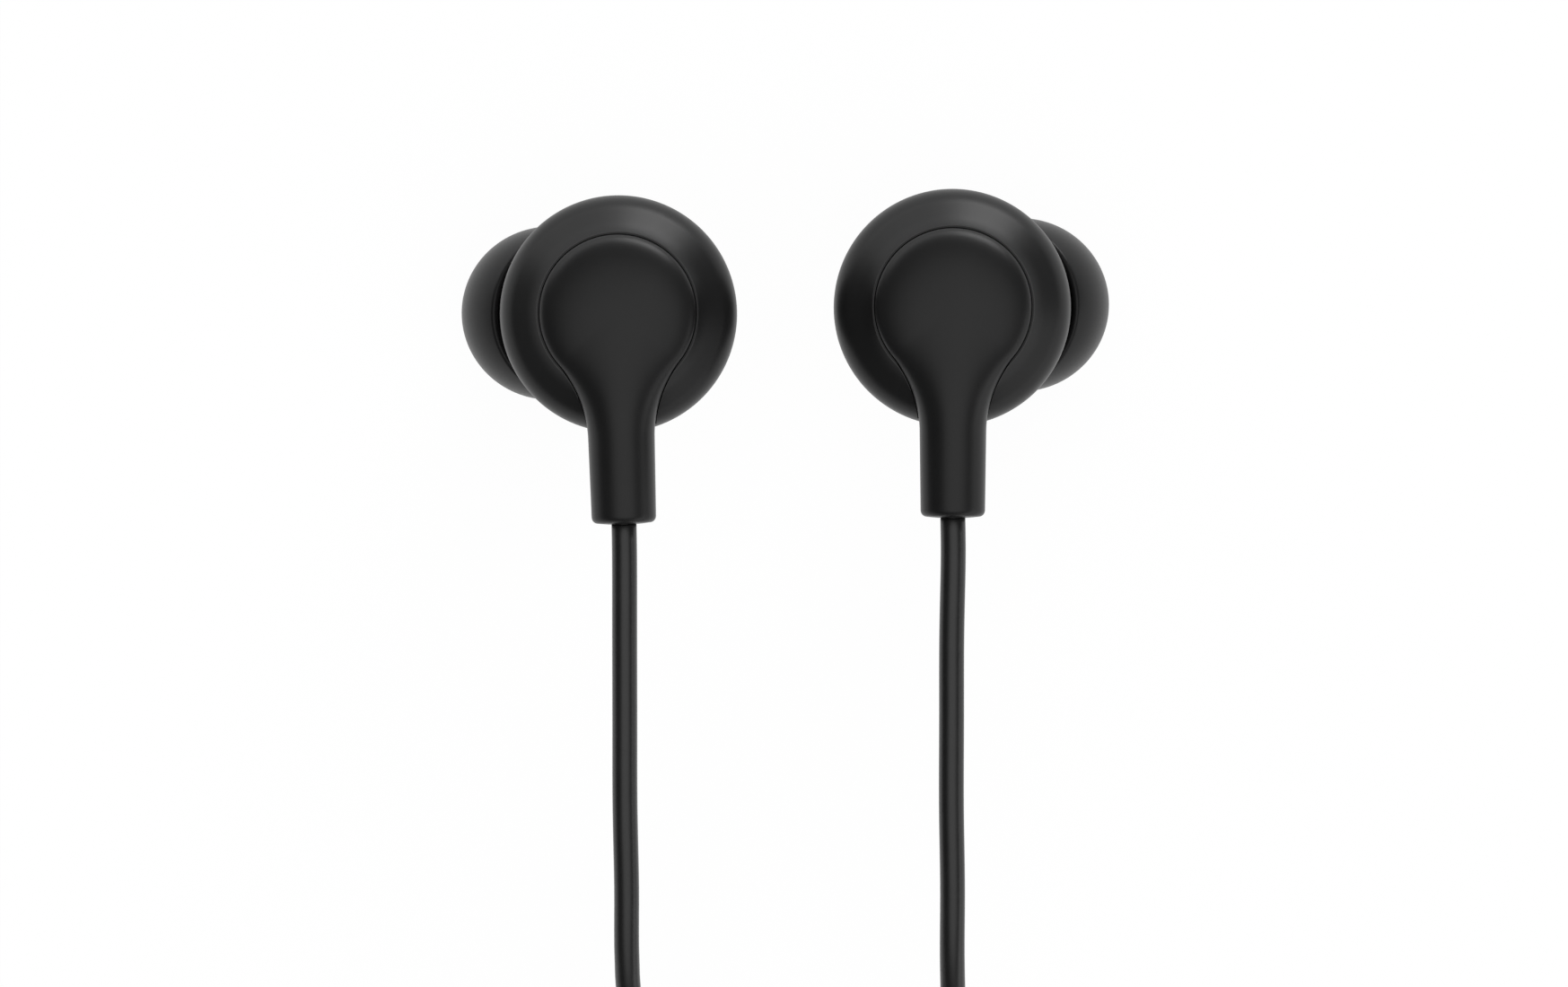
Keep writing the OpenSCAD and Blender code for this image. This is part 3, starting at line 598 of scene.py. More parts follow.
@dataclass
class Bud:
    """One bud: rear shell, cover with its stem, front shell with its nozzle, and ear tip.

    Sizes are in millimetres. Its own frame has the origin in the middle of the rim's plane, +Z out
    of the rear face and the stem along -Y.
    """

    side: Side
    centre: Triple
    roll: float
    rim_r: float = 8.5
    rim_round: float = 2.8
    rim_foot: Pair = (0.05, 0.06)
    shell_lap: float = 0.9
    flare_slope: float = 38.0
    fillet_slope: float = 50.0
    fillet_r: float = 6.0
    part_z: float = -0.3
    side_h: float = 0.5
    part_round: float = 0.1
    side_round: float = 0.25
    chamfer_h: float = 0.9
    chamfer_w: float = 0.55
    chamfer_round: float = 0.5
    chamfer_slopes: Pair = (32.0, 52.0)
    bowl_z: float = -2.5
    bowl_bulge: float = 0.22
    plate_r: float = 5.6
    plate_h: float = 1.65
    plate_sink: float = 0.7
    groove_w: float = 0.12
    groove_depth: float = 0.8
    groove_round: float = 0.05
    slot_inset: float = 0.2
    seam: float = 0.035
    neck_end: float = 9.0
    stem_r: float = 2.38
    stem_end_r: float = 2.3
    stem_reach: float = 15.0
    stem_tilt: float = 6.0
    stem_bend: float = 1.2
    stem_round: float = 0.45
    stem_bulge: float = 0.12
    cord_r: float = 0.9
    cord_gap: float = 0.06
    cord_edge: Pair = (0.15, 0.08)
    cord_depth: float = 1.2
    nozzle_angle: float = 30.0
    nozzle_rise: float = 2.3
    nozzle_start: float = 8.3
    nozzle_len: float = 5.3
    nozzle_r: float = 2.75
    nozzle_root: float = 0.25
    shoulder_r: float = 3.8
    shoulder_round: float = 0.5
    lip_r: float = 3.05
    lip_w: float = 0.9
    lip_back: float = 0.3
    lip_front: float = 0.35
    bore_r: float = 1.9
    bore_rim: Pair = (0.42, 0.36)
    bore_step: Pair = (0.22, 0.26)
    bore_depth: float = 2.0
    tip_r: float = 6.295
    tip_dome: float = 6.995
    tip_seat: float = 10.12
    tip_fit: float = 0.05
    tip_play: float = 0.15
    mouth_cut: float = 0.6
    mouth_r: float = 2.0
    mouth_round: float = 0.3
    mouth_edge: float = 0.26
    skirt: float = 2.2
    dome_wall: float = 0.6
    core_wall: float = 0.9
    core_round: float = 0.1

    def __post_init__(self) -> None:
        """Works out the derived sizes from the same relations as the solids."""
        self.groove_r = self.plate_r + self.groove_w
        flare_r = self.rim_r - self.rim_round * (1 - sin_d(self.flare_slope))
        flare_z = self.rim_round * cos_d(self.flare_slope)
        turned_in = sin_d(self.fillet_slope) - sin_d(self.flare_slope)
        fillet_r = self.groove_r + self.fillet_r * turned_in
        fillet_z = flare_z + (flare_r - fillet_r) * math.tan(math.radians(self.flare_slope))
        climb = cos_d(self.flare_slope) - cos_d(self.fillet_slope)
        self.groove_z = fillet_z + self.fillet_r * climb
        self.plate_z = self.groove_z + self.plate_h
        reach = self.neck_end**2 + self.stem_r**2 - self.plate_r**2
        self.neck_r = reach / (2 * (self.plate_r - self.stem_r))
        self.neck_x = self.stem_r + self.neck_r
        self.neck_turn = math.degrees(math.asin(self.neck_end / (self.plate_r + self.neck_r)))
        self.tilt = math.tan(math.radians(self.stem_tilt))
        self.frame = shift(*self.centre) @ turn("Z", self.roll)
        lean = self.side.value * (180 - self.nozzle_angle)
        self.nozzle_frame = self.frame @ turn("X", self.nozzle_rise) @ turn("Y", lean)

    def _dress(self, skin: Skin, finish: Finish, body: str, slot: str, node: str) -> None:
        """Dresses a piece, with the side's word put before its name and its node's.

        Args:
            skin: The surface.
            finish: Its finish.
            body: The body that it rides on.
            slot: The record's material slot.
            node: The CAD node that it replaces, without its side.
        """
        skin.name = f"{self.side.word}_{skin.name}"
        dressed(skin, finish, body, slot, f"{self.side.word}_{node}")

    # -- rear shell

    def _rear_profile(self) -> np.ndarray:
        """Rear face's (radius, height) from the groove out: hollow, straight flare, rim, side."""
        s, c = sin_d(self.fillet_slope), cos_d(self.fillet_slope)
        hollow = (self.groove_r + self.fillet_r * s, self.groove_z + self.fillet_r * c)
        in_w, up_h = self.rim_foot
        return chain(
            arc(hollow, self.fillet_r, 270 - self.fillet_slope, 270 - self.flare_slope, 14),
            arc((self.rim_r - self.rim_round, 0), self.rim_round, 90 - self.flare_slope, 0, 18),
            [[self.rim_r, self.part_z + up_h], [self.rim_r - in_w, self.part_z]],
        )

    def _cover_edge(self) -> tuple[np.ndarray, np.ndarray]:
        """The cover's outline with its seam, down to where it crosses the rim.

        Returns:
            Angles about the bud's centre, in radians from -90 degrees up to 90 degrees on the
            right side, and the radii there.
        """
        a = np.radians(np.linspace(0, self.neck_turn, 60))
        slot_r = self.rim_r - self.slot_inset
        x = self.neck_x - (self.neck_r - self.seam) * np.cos(a)
        y = (self.neck_r - self.seam) * np.sin(a) - self.neck_end
        inside = np.hypot(x, y) < slot_r
        neck_a, neck_r = np.arctan2(y, x)[inside], np.hypot(x, y)[inside]
        slot_a = np.linspace(-np.pi / 2, neck_a[0], 6, endpoint=False)
        disc_a = np.linspace(neck_a[-1], np.pi / 2, 70)[1:]
        disc_r = np.full_like(disc_a, self.plate_r + self.seam)
        radii = np.concatenate([np.full_like(slot_a, slot_r), neck_r, disc_r])
        return np.concatenate([slot_a, neck_a, disc_a]), radii

    def rear_shell(self) -> None:
        """Flared shell.

        At each angle the profile runs from the groove's foot over its rounded edge, where the
        cover's outline crosses the rear face, and out to the rim, then back underneath.
        """
        angle, inner = self._cover_edge()
        angle = np.concatenate([angle, np.pi - angle[::-1][1:]])[:-1, None]
        inner = np.concatenate([inner, inner[::-1][1:]])[:-1, None]
        profile = self._rear_profile()
        run = np.concatenate([[0], np.cumsum(np.hypot(*np.diff(profile, axis=0).T))])
        # Radii that only rise, so that each gives one place along the run
        rising = np.maximum.accumulate(profile[:-2, 0] + 1e-9 * np.arange(len(profile) - 2))
        start = np.interp(inner, rising, run[:-2])
        at = start + (run[-1] - start) * np.linspace(0, 1, 56)
        r, z = np.interp(at, run, profile[:, 0]), np.interp(at, run, profile[:, 1])
        edge_z, soft = z[:, :1], self.groove_round
        r[:, 0] += 0.9 * soft
        under = np.full_like(edge_z, self.rim_r - self.shell_lap)
        r = np.concatenate([inner, inner, inner + 0.3 * soft, r, under], 1)
        foot = [edge_z - self.groove_depth, edge_z - soft, edge_z - 0.24 * soft]
        z = np.concatenate([*foot, z, np.full_like(edge_z, self.part_z)], 1)
        grid = placed(np.stack([r * np.cos(angle), r * np.sin(angle), z], -1), self.frame)
        skin = Skin("flared_shell", grid, wrap_rows=True)
        self._dress(skin, SHELL, BODY, "shell", "rear_shell")

    # -- cover

    def _top(self, y: np.ndarray) -> np.ndarray:
        """Height of the cover's top line at y: level, then a soft bend, then the stem's tilt."""
        d, soft = -y - self.plate_r, self.stem_bend
        ramp = np.where(d < -soft, 0, np.where(d > soft, d, (d + soft) ** 2 / (4 * soft)))
        return self.plate_z - self.tilt * ramp

    def _stem_outline(self) -> tuple[np.ndarray, np.ndarray]:
        """Stem's (radius, y): its side, its rounded end, its domed face and the cord's hole."""
        end, flat_r = self.stem_reach - self.stem_round, self.stem_end_r - self.stem_round
        down = np.linspace(self.neck_end, end, 30)[1:]
        share = (down - self.neck_end) / (self.stem_reach - self.neck_end)
        corner = np.radians(np.linspace(0, 90, 10)[1:])
        edge_w, edge_h = self.cord_edge
        face_r = self.cord_r + edge_w
        face = np.linspace(1, 0, 8)[1:] * (flat_r - face_r) + face_r
        face_y = -self.stem_reach - self.stem_bulge * (1 - (face / flat_r) ** 2)
        hole_r = self.cord_r + self.cord_gap
        hole_y = face_y[-1] + np.array([edge_h, self.cord_depth, self.cord_depth])
        side = self.stem_r + (self.stem_end_r - self.stem_r) * share
        rounded = flat_r + self.stem_round * np.cos(corner)
        r = np.concatenate([side, rounded, face, [hole_r, hole_r, 0.0]])
        y = np.concatenate([-down, -end - self.stem_round * np.sin(corner), face_y, hole_y])
        return r, y

    def cover(self) -> None:
        """Round plate, neck and stem in one skin.

        The outline runs round the plate, along the neck's arc and down the stem. From each of its
        points the section goes square inwards to the middle line, over a half-width w. With e from
        0 at the outline to 90 degrees in the middle it is a quarter of an ellipse,
        (w cos e, h sin e), over the outline, and a second one under it. Both heights grow along
        the neck to the stem's radius, so that the stem's section is round.
        """
        def run(*columns: np.ndarray | float) -> np.ndarray:
            """Outline points: x, y, the way inwards in x and y, half-width, share of the neck."""
            return np.stack(np.broadcast_arrays(*columns), 1)

        disc = np.radians(np.linspace(90, -self.neck_turn, 64))
        neck = np.radians(np.linspace(self.neck_turn, 0, 40))[1:]
        stem_r, stem_y = self._stem_outline()
        dc, ds, nc, ns = np.cos(disc), np.sin(disc), np.cos(neck), np.sin(neck)
        plate = run(self.plate_r * dc, self.plate_r * ds, -dc, -ds, self.plate_r, 0.0)
        past = 1 - np.degrees(neck) / self.neck_turn - 1e-9
        neck_x, neck_y = self.neck_x - self.neck_r * nc, self.neck_r * ns - self.neck_end
        throat = run(neck_x, neck_y, -nc, ns, self.neck_x / nc - self.neck_r, past)
        outline = np.concatenate([plate, throat, run(stem_r, stem_y, -1.0, 0.0, stem_r, 1.0)])
        x, y, in_x, in_y, wide, share = outline.T[..., None]
        swell = np.sin(share * np.pi / 2)
        high = self.plate_h + share * (self.stem_r - self.plate_h)
        low = self.plate_sink + swell * (self.stem_r - self.plate_sink)
        high, low = np.where(share < 1, high, wide), np.where(share < 1, low, wide)
        e = np.linspace(0, np.pi / 2, 34)
        d = wide * (1 - np.cos(e))
        x, y = x + in_x * d, y + in_y * d
        middle = self._top(y) - np.where(share < 1, high, self.stem_r)
        upper = np.stack([x, y, middle + high * np.sin(e)], -1)
        lower = np.stack([x, y, middle - low * np.sin(e)], -1)
        right = np.concatenate([lower[:, ::-1], upper], 1)
        left = right[:, ::-1] * [-1, 1, 1]
        grid = placed(np.concatenate([right, left[:, 1:-1]], 1), self.frame)
        self._dress(Skin("cover_and_stem", grid), COVER, BODY, "cover", "back_cover")

    # -- front shell

    def _nozzle_profile(self) -> np.ndarray:
        """Nozzle's (radius, height) from the shoulder over the lip and back down the bore."""
        start, end, lip = self.nozzle_start, self.nozzle_start + self.nozzle_len, self.lip_r
        shoulder, root = self.shoulder_round, self.nozzle_root
        back, front = self.lip_back, self.lip_front
        (rim_w, edge_w), (edge_h, step_h) = self.bore_rim, self.bore_step
        bore, floor = self.bore_r, start - self.bore_depth
        return chain(
            arc((self.shoulder_r - shoulder, start - shoulder), shoulder, 0, 90, 8),
            arc((self.nozzle_r + root, start + root), root, 270, 180, 6),
            [[self.nozzle_r, end - self.lip_w]],
            arc((lip - back, end - self.lip_w + back + 0.02), back, -40, 0, 4),
            arc((lip - front, end - front - 0.01), front, 0, 80, 6),
            [[bore + rim_w, end], [bore + edge_w, end - edge_h], [bore, end - step_h]],
            [[bore, floor], [0, floor]],
        )

    def front_shell(self) -> None:
        """Front shell: short side, chamfer, bowl and nozzle.

        The bowl is straight lines from the chamfer's circle to the tilted shoulder's circle, with
        sin(pi w) of a small bulge added outwards at the share w of the way.
        """
        a = np.linspace(0, 2 * np.pi, 144, endpoint=False)

        def nozzle_ring(profile: np.ndarray) -> np.ndarray:
            """Rings of (radius, height) along the nozzle, started on the bud's +X side."""
            r, h = profile[:, :1], profile[:, 1:]
            rings = np.stack([-r * np.cos(a), r * np.sin(a), h + 0 * a], -1)
            return placed(rings, self.nozzle_frame)

        top, low, rim = self.part_z, self.part_z - self.side_h, self.rim_r
        soft, side, chamfer = self.part_round, self.side_round, self.chamfer_round
        first, last = self.chamfer_slopes
        foot = (rim - self.chamfer_w - chamfer, low - self.chamfer_h)
        upper = placed(turned(chain(
            [[rim - self.shell_lap, top], [rim - 0.8 * soft, top - 0.2 * soft]],
            arc((rim - soft, top - 1.2 * soft), soft, 90, 0, 4),
            arc((rim - side, low), side, 0, -first, 5),
            arc(foot, chamfer, -first, -last, 5) + [0.02, 0.1],
        ), len(a)), self.frame)
        under = self.nozzle_start - self.shoulder_round - 0.05
        base, shoulder = upper[-1:], nozzle_ring(np.array([[self.shoulder_r, under]]))
        w = np.linspace(0, 1, 26)[1:-1, None, None]
        belly = base + (shoulder - base) * w
        out = belly - placed(np.zeros(3), self.frame @ shift(0, 0, self.bowl_z))
        out /= np.linalg.norm(out, axis=-1, keepdims=True)
        belly = belly + out * self.bowl_bulge * np.sin(np.pi * w)
        grid = np.concatenate([upper, belly, nozzle_ring(self._nozzle_profile())])
        skin = Skin("front_shell_and_nozzle", grid, sharp=40)
        self._dress(skin, SHELL, BODY, "shell", "front_shell")

    # -- ear tip

    def ear_tip(self) -> None:
        """Umbrella tip: half an ellipse outside and inside, a rolled edge and the core tube."""
        def ellipse(r: float, h: float, low: float, high: float, count: int) -> np.ndarray:
            """Points (r cos a, h sin a) of an ellipse between two heights."""
            e = np.linspace(math.asin(low / h), math.asin(high / h), count)
            return np.stack([r * np.cos(e), h * np.sin(e)], 1)

        inner_r, inner_h = self.tip_r - self.dome_wall, self.tip_dome - self.dome_wall
        bore, soft = self.lip_r + self.tip_fit, self.core_round
        core = bore + self.core_wall
        join = inner_h * math.sqrt(1 - (core / inner_r) ** 2)
        top = self.tip_dome - self.mouth_cut
        back = self.nozzle_start + self.tip_play - self.tip_seat
        channel = back + self.nozzle_len
        outer = ellipse(self.tip_r, self.tip_dome, -self.skirt + 0.2, top - 0.03, 60)
        inner = ellipse(inner_r, inner_h, -self.skirt + 0.25, join - 0.3, 24)
        middle, across = (outer[0] + inner[0]) / 2, outer[0] - inner[0]
        roll = arc((middle[0], middle[1]), np.linalg.norm(across) / 2, -178, -2, 9)
        mouth, edge, rounded = outer[-1], self.mouth_edge, self.mouth_round
        lean = math.atan2(mouth[1] / self.tip_dome**2, mouth[0] / self.tip_r**2)
        hub = (mouth[0] - edge * math.cos(lean), mouth[1] - edge * math.sin(lean))
        profile = chain(
            roll, outer,
            arc(hub, edge, math.degrees(lean), 90, 6),
            arc((self.mouth_r + rounded, top - rounded), rounded, 90, 180, 6),
            [[self.mouth_r, channel], [bore, channel], [bore, back]],
            [[bore + soft, back], [core - soft, back], [core, back + soft]],
            [[core, join - 0.5], [core + 0.06, join - 0.22], [core + 0.3, join - 0.12]],
            inner[::-1],
        )
        grid = placed(turned(profile + [0, self.tip_seat], 144), self.nozzle_frame)
        skin = Skin("silicone_tip", grid, wrap_rows=True, sharp=60)
        self._dress(skin, SILICONE, f"{self.side.word}_tip", "silicone", "ear_tip")

    def stem_end(self) -> np.ndarray:
        """Middle of the stem's end face on the table's axes."""
        z = self.plate_z - self.stem_r - (self.stem_reach - self.plate_r) * self.tilt
        return placed(np.array([0, -self.stem_reach, z]), self.frame)

    def inner_nodes(self) -> None:
        """Gives the CAD nodes inside the bud their finishes."""
        for name, finish in CAD_FINISHES.items():
            PAINT.paint(frame["nodes"][f"{self.side.word}_{name}"], finish)

    def build(self) -> None:
        """Builds and dresses the bud's pieces."""
        self.rear_shell()
        self.cover()
        self.front_shell()
        self.ear_tip()
        self.inner_nodes()


# ---------------------------------------------------------------- cords


@dataclass
class Winding:
    """Turns of a put-away coil, wound clockwise seen from above, layer on layer.

    Sizes are in millimetres. Each layer is (height, first radius, last radius, turns).
    """

    centre: Pair
    start_angle: float
    layers: tuple[tuple[float, float, float, float], ...]
    per_turn: int = 40
    climb: float = 0.25

    def path(self) -> np.ndarray:
        """Centre line of the turns.

        The radius goes evenly from a layer's first to its last, and the height climbs to the next
        layer's by a smooth step within the layer's last quarter of a turn.

        Returns:
            Array of points by 3.
        """
        parts, angle = [], math.radians(self.start_angle)
        heights = [layer[0] for layer in self.layers] + [self.layers[-1][0]]
        for k, (z, first, last, turns) in enumerate(self.layers):
            ends = k == len(self.layers) - 1
            s = np.linspace(0, 1, int(turns * self.per_turn), endpoint=ends)
            a = angle - 2 * np.pi * turns * s
            r = first + (last - first) * s
            up = np.clip((s * turns - (turns - self.climb)) / self.climb, 0, 1)
            height = z + (heights[k + 1] - z) * up * up * (3 - 2 * up)
            x, y = self.centre[0] + r * np.cos(a), self.centre[1] + r * np.sin(a)
            parts.append(np.stack([x, y, height], 1))
            angle -= 2 * np.pi * turns
        return np.concatenate(parts)


LEFT_ROUTE = [
    (-0.0115, -0.014, 0.0173), (-0.0115, -0.02, 0.0167), (-0.0115, -0.026, 0.016),
    (-0.0115, -0.032, 0.0152), (-0.0114, -0.038, 0.0142), (-0.0114, -0.043, 0.013),
    (-0.0112, -0.0462, 0.0117), (-0.0102, -0.0491, 0.0098), (-0.008, -0.0517, 0.0076),
    (-0.0047, -0.0534, 0.0057),
]
RIGHT_ROUTE = [
    (0.012, -0.014, 0.0173), (0.0119, -0.02, 0.0167), (0.0119, -0.026, 0.016),
    (0.0119, -0.032, 0.0152), (0.012, -0.038, 0.0142), (0.012, -0.043, 0.0129),
    (0.0121, -0.047, 0.011), (0.0121, -0.051, 0.0084), (0.0122, -0.055, 0.0056),
    (0.0122, -0.059, 0.0032), (0.0123, -0.063, 0.0017),
]
LEFT_RUN = [
    (0.0121, -0.07, 0.0066), (0.0118, -0.0735, 0.0057), (0.0114, -0.077, 0.0044),
    (0.0112, -0.0805, 0.0032), (0.0111, -0.083, 0.0027), (0.0111, -0.086, 0.0027),
]
RIGHT_RUN = [
    (0.0124, -0.07, 0.0031), (0.0127, -0.0735, 0.003), (0.0131, -0.077, 0.0029),
    (0.0134, -0.0805, 0.0027), (0.0135, -0.083, 0.0027), (0.0135, -0.086, 0.0027),
]
MAIN_ROUTE = [
    (0.0123, -0.094, 0.0027), (0.0123, -0.097, 0.0027), (0.0123, -0.1005, 0.0023),
    (0.0123, -0.104, 0.0017), (0.0123, -0.108, 0.0014),
]
PLUG_ROUTE = [
    (-0.007, -0.1005, 0.0067), (-0.003, -0.0965, 0.0067), (0.001, -0.0925, 0.0067),
    (0.0054, -0.0881, 0.0067), (0.0098, -0.0837, 0.0067), (0.0117, -0.0824, 0.0066),
    (0.0139, -0.082, 0.0062), (0.0161, -0.0824, 0.0055), (0.018, -0.0837, 0.0046),
    (0.0193, -0.0856, 0.0038), (0.0197, -0.0876, 0.0035), (0.0197, -0.09, 0.0035),
]


@dataclass
class Cords:
    """The two leads and the main lead, each one tube from its exit to its far end.

    Sizes are in millimetres. A coil's layers wind inwards and outwards by turns.
    """

    radius: float = 0.9
    step: float = 1.1
    lead_coil: Pair = (-0.9, -67.0)
    main_coil: Pair = (-0.9, -113.0)
    layer_z: tuple[float, ...] = (1.3, 3.1, 4.9, 6.7)

    def left(self, exit_point: np.ndarray) -> np.ndarray:
        """Left lead: into the first coil's two upper layers on the buds' side, and to the split."""
        low, high = self.layer_z[2:]
        layers = ((low, 13.0, 8.275, 2.625), (high, 8.275, 13.0, 2.625))
        turns = Winding(self.lead_coil, 90, layers).path()
        return self._along(exit_point, LEFT_ROUTE, turns, LEFT_RUN)

    def right(self, exit_point: np.ndarray) -> np.ndarray:
        """Right lead: into the first coil's two lower layers on its right, and to the split."""
        low, high = self.layer_z[:2]
        layers = ((low, 13.2, 8.7, 2.5), (high, 8.7, 13.2, 2.5))
        turns = Winding(self.lead_coil, 0, layers).path()
        return self._along(exit_point, RIGHT_ROUTE, turns, RIGHT_RUN)

    def main(self) -> np.ndarray:
        """Main lead: from the split into the second coil's four layers, and round to the plug."""
        outer, inner, turns = 13.2, 8.25, (2.75, 2.75, 2.75, 2.375)
        ends = ((outer, inner), (inner, outer)) * 2
        layers = tuple((z, *radii, n) for z, radii, n in zip(self.layer_z, ends, turns))
        start = np.array(MAIN_ROUTE[0]) / MM
        turns = Winding(self.main_coil, 0, layers).path()
        return self._along(start, MAIN_ROUTE[1:], turns, PLUG_ROUTE)

    def _along(self, start: np.ndarray, before: list, turns: np.ndarray, after: list) -> np.ndarray:
        """Smooth line through an exit, a route, the coil's turns and the route after it.

        Args:
            start: The exit, in millimetres.
            before: Route to the coil, in metres.
            turns: The coil's turns, in millimetres.
            after: Route from the coil, in metres.

        Returns:
            The line in millimetres, nowhere lower than a cord that lies on the table.
        """
        points = np.concatenate([[start], np.array(before) / MM, turns, np.array(after) / MM])
        path = smooth_path(points, self.step)
        path[:, 2] = np.maximum(path[:, 2], self.radius)
        return path

    def lay(
        self, name: str, path: np.ndarray, far_end: str, pieces: list[Piece], *nodes: str
    ) -> None:
        """Args:
            name: The piece's name.
            path: Its centre line, in millimetres.
            far_end: What its far end is; not used.
            pieces: The separate pieces on it; not used.
            *nodes: The CAD nodes that it replaces.
        """
        skin = Skin(name, swept(path, self.radius))
        tube = dressed(skin, JACKET, BODY, "cord", *nodes)


@dataclass
class Tie:
    """Strap round a coil's section, on its left side. Sizes in millimetres."""

    name: str
    centre: Pair
    node: str
    inner: float = 7.33
    outer: float = 14.12
    bottom: float = 0.38
    top: float = 7.62
    wall: float = 0.36
    angle: float = 22.0
    corner: float = 0.9

    def _loop(self, grow: float) -> np.ndarray:
        """Rounded rectangle, grown by an amount, as (radius, height)."""
        r = self.corner + grow
        x0, x1 = self.inner + r - grow, self.outer - r + grow
        z0, z1 = self.bottom + r - grow, self.top - r + grow
        corners = ((x1, z0, -90), (x1, z1, 0), (x0, z1, 90), (x0, z0, 180))
        return chain(*(arc((x, z), r, a, a + 90, 8) for x, z, a in corners))

    def build(self) -> Piece:
        """Rounded rectangle round the turns, carried through the tie's angle, and its wall."""
        a = np.radians(np.linspace(180 - self.angle / 2, 180 + self.angle / 2, 14))
        rows = []
        for grow, angles in ((0.0, a[::-1, None]), (self.wall, a[:, None])):
            r, h = self._loop(grow).T
            x = self.centre[0] + r * np.cos(angles)
            y = self.centre[1] + r * np.sin(angles)
            rows.append(np.stack([x, y, h + 0 * angles], -1))
        skin = Skin(self.name, np.concatenate(rows), wrap_rows=True, sharp=40)
        return dressed(skin, STRAP, BODY, "tie", self.node)


# ---------------------------------------------------------------- splitter and plug


@dataclass
class Fittings:
    """Y-split along +Y, and plug body with its strain relief along -Y. Sizes in millimetres."""

    split_end: Triple = (12.3, -96.0, 2.7)
    split_r: float = 2.7
    split_len: float = 12.0
    split_round: float = 0.8
    waist: float = 3.0
    plug_start: Triple = (19.7, -96.0, 3.5)
    plug_r: float = 3.5
    plug_len: float = 20.0
    plug_round: float = 0.7
    contact_bore: Pair = (1.79, 0.3)
    relief_start: Triple = (19.7, -88.0, 3.5)
    relief_r: Pair = (1.5, 2.2)
    relief_len: float = 8.0
    relief_groove: Pair = (0.3, 0.34)
    relief_pitch: float = 1.6

    def y_split(self) -> Piece:
        """Round bar with softened ends, a shallow waist line and a bore for the main lead."""
        r, length, soft, line = self.split_r, self.split_len, self.split_round, self.waist
        profile = chain(
            [[0, 0.25], [0.96, 0.25], [0.96, 0.03]],
            arc((r - soft, soft), soft, -90, 0, 12),
            [[r, line], [r - 0.06, line + 0.08], [r - 0.06, line + 0.22], [r, line + 0.3]],
            arc((r - soft, length - soft), soft, 0, 90, 12),
            [[0, length]],
        )
        along = shift(*self.split_end) @ turn("X", -90)
        skin = Skin("y_split_body", placed(turned(profile, 96), along))
        return dressed(skin, SHELL, BODY, "split", "y_split")

    def plug_body(self) -> Piece:
        """Plug's grip: softened ends, and a fine step behind the contacts."""
        r, length, soft = self.plug_r, self.plug_len, self.plug_round
        line, (bore, floor) = length - 3.3, self.contact_bore
        profile = chain(
            [[0, 0.0]],
            arc((r - soft, soft), soft, -90, 0, 12),
            [[r, line], [r - 0.1, line + 0.1], [r - 0.1, line + 0.3], [r, line + 0.4]],
            arc((r - soft, length - soft), soft, 0, 90, 12),
            [[bore, length], [bore, length - floor], [0, length - floor]],
        )
        along = shift(*self.plug_start) @ turn("X", 90)
        skin = Skin("plug_grip", placed(turned(profile, 96), along))
        return dressed(skin, SHELL, BODY, "plug_shell", "plug_body")

    def plug_relief(self) -> Piece:
        """Tapered strain relief with four grooves: 1 less the fourth power, cut off at 0."""
        (first, last), (deep, wide) = self.relief_r, self.relief_groove
        z = np.linspace(0, self.relief_len, 161)
        r = first + (last - first) * z / self.relief_len
        for k in range(1, 5):
            off = (z - self.relief_pitch * k) / wide
            r -= deep * np.clip(1 - off**4, 0, 1)
        front = [[0, 0.3], [0.94, 0.3], [0.94, 0.04], [1.3, 0.0]]
        profile = chain(front, np.stack([r, z], 1)[2:], [[0, self.relief_len]])
        along = shift(*self.relief_start) @ turn("X", 90)
        skin = Skin("plug_strain_relief", placed(turned(profile, 64), along))
        return dressed(skin, JACKET, BODY, "relief", "plug_relief")

    def contacts(self) -> list[Piece]:
        """The plug's CAD contacts and insulators, gold and black."""
        nodes = frame["nodes"]
        gold = [nodes[name] for name in ("plug_sleeve", "plug_ring", "plug_tip")]
        black = [nodes[name] for name in ("plug_ring_insulator", "plug_tip_insulator")]
        return [PAINT.paint(n, GOLD) for n in gold] + [PAINT.paint(n, INSULATOR) for n in black]


# ---------------------------------------------------------------- studio


@dataclass(frozen=True)
class Glow:
    """Soft patch of light in the room, between two azimuths and two angles from overhead.

    Angles are in degrees, and the edges fade over the given widths.
    """

    azimuth: Pair
    zenith: Pair
    strength: float
    fade: Pair = (14.0, 7.0)


@dataclass(frozen=True)
class Ceiling:
    """Large round soft light overhead, leaning towards an azimuth. Angles in degrees."""

    azimuth: float = 300.0
    lean: float = 11.0
    radius: float = 37.0
    fade: float = 28.0
    strength: float = 1.26

    def axis(self) -> Triple:
        """Direction of its middle."""
        level = sin_d(self.lean)
        return level * cos_d(self.azimuth), level * sin_d(self.azimuth), cos_d(self.lean)


GLOWS = (
    Glow((51, 86), (68, 92), 7.5),
    Glow((86, 150), (67, 92), 2.1),
    Glow((290, 356), (72, 92), 1.6),
)


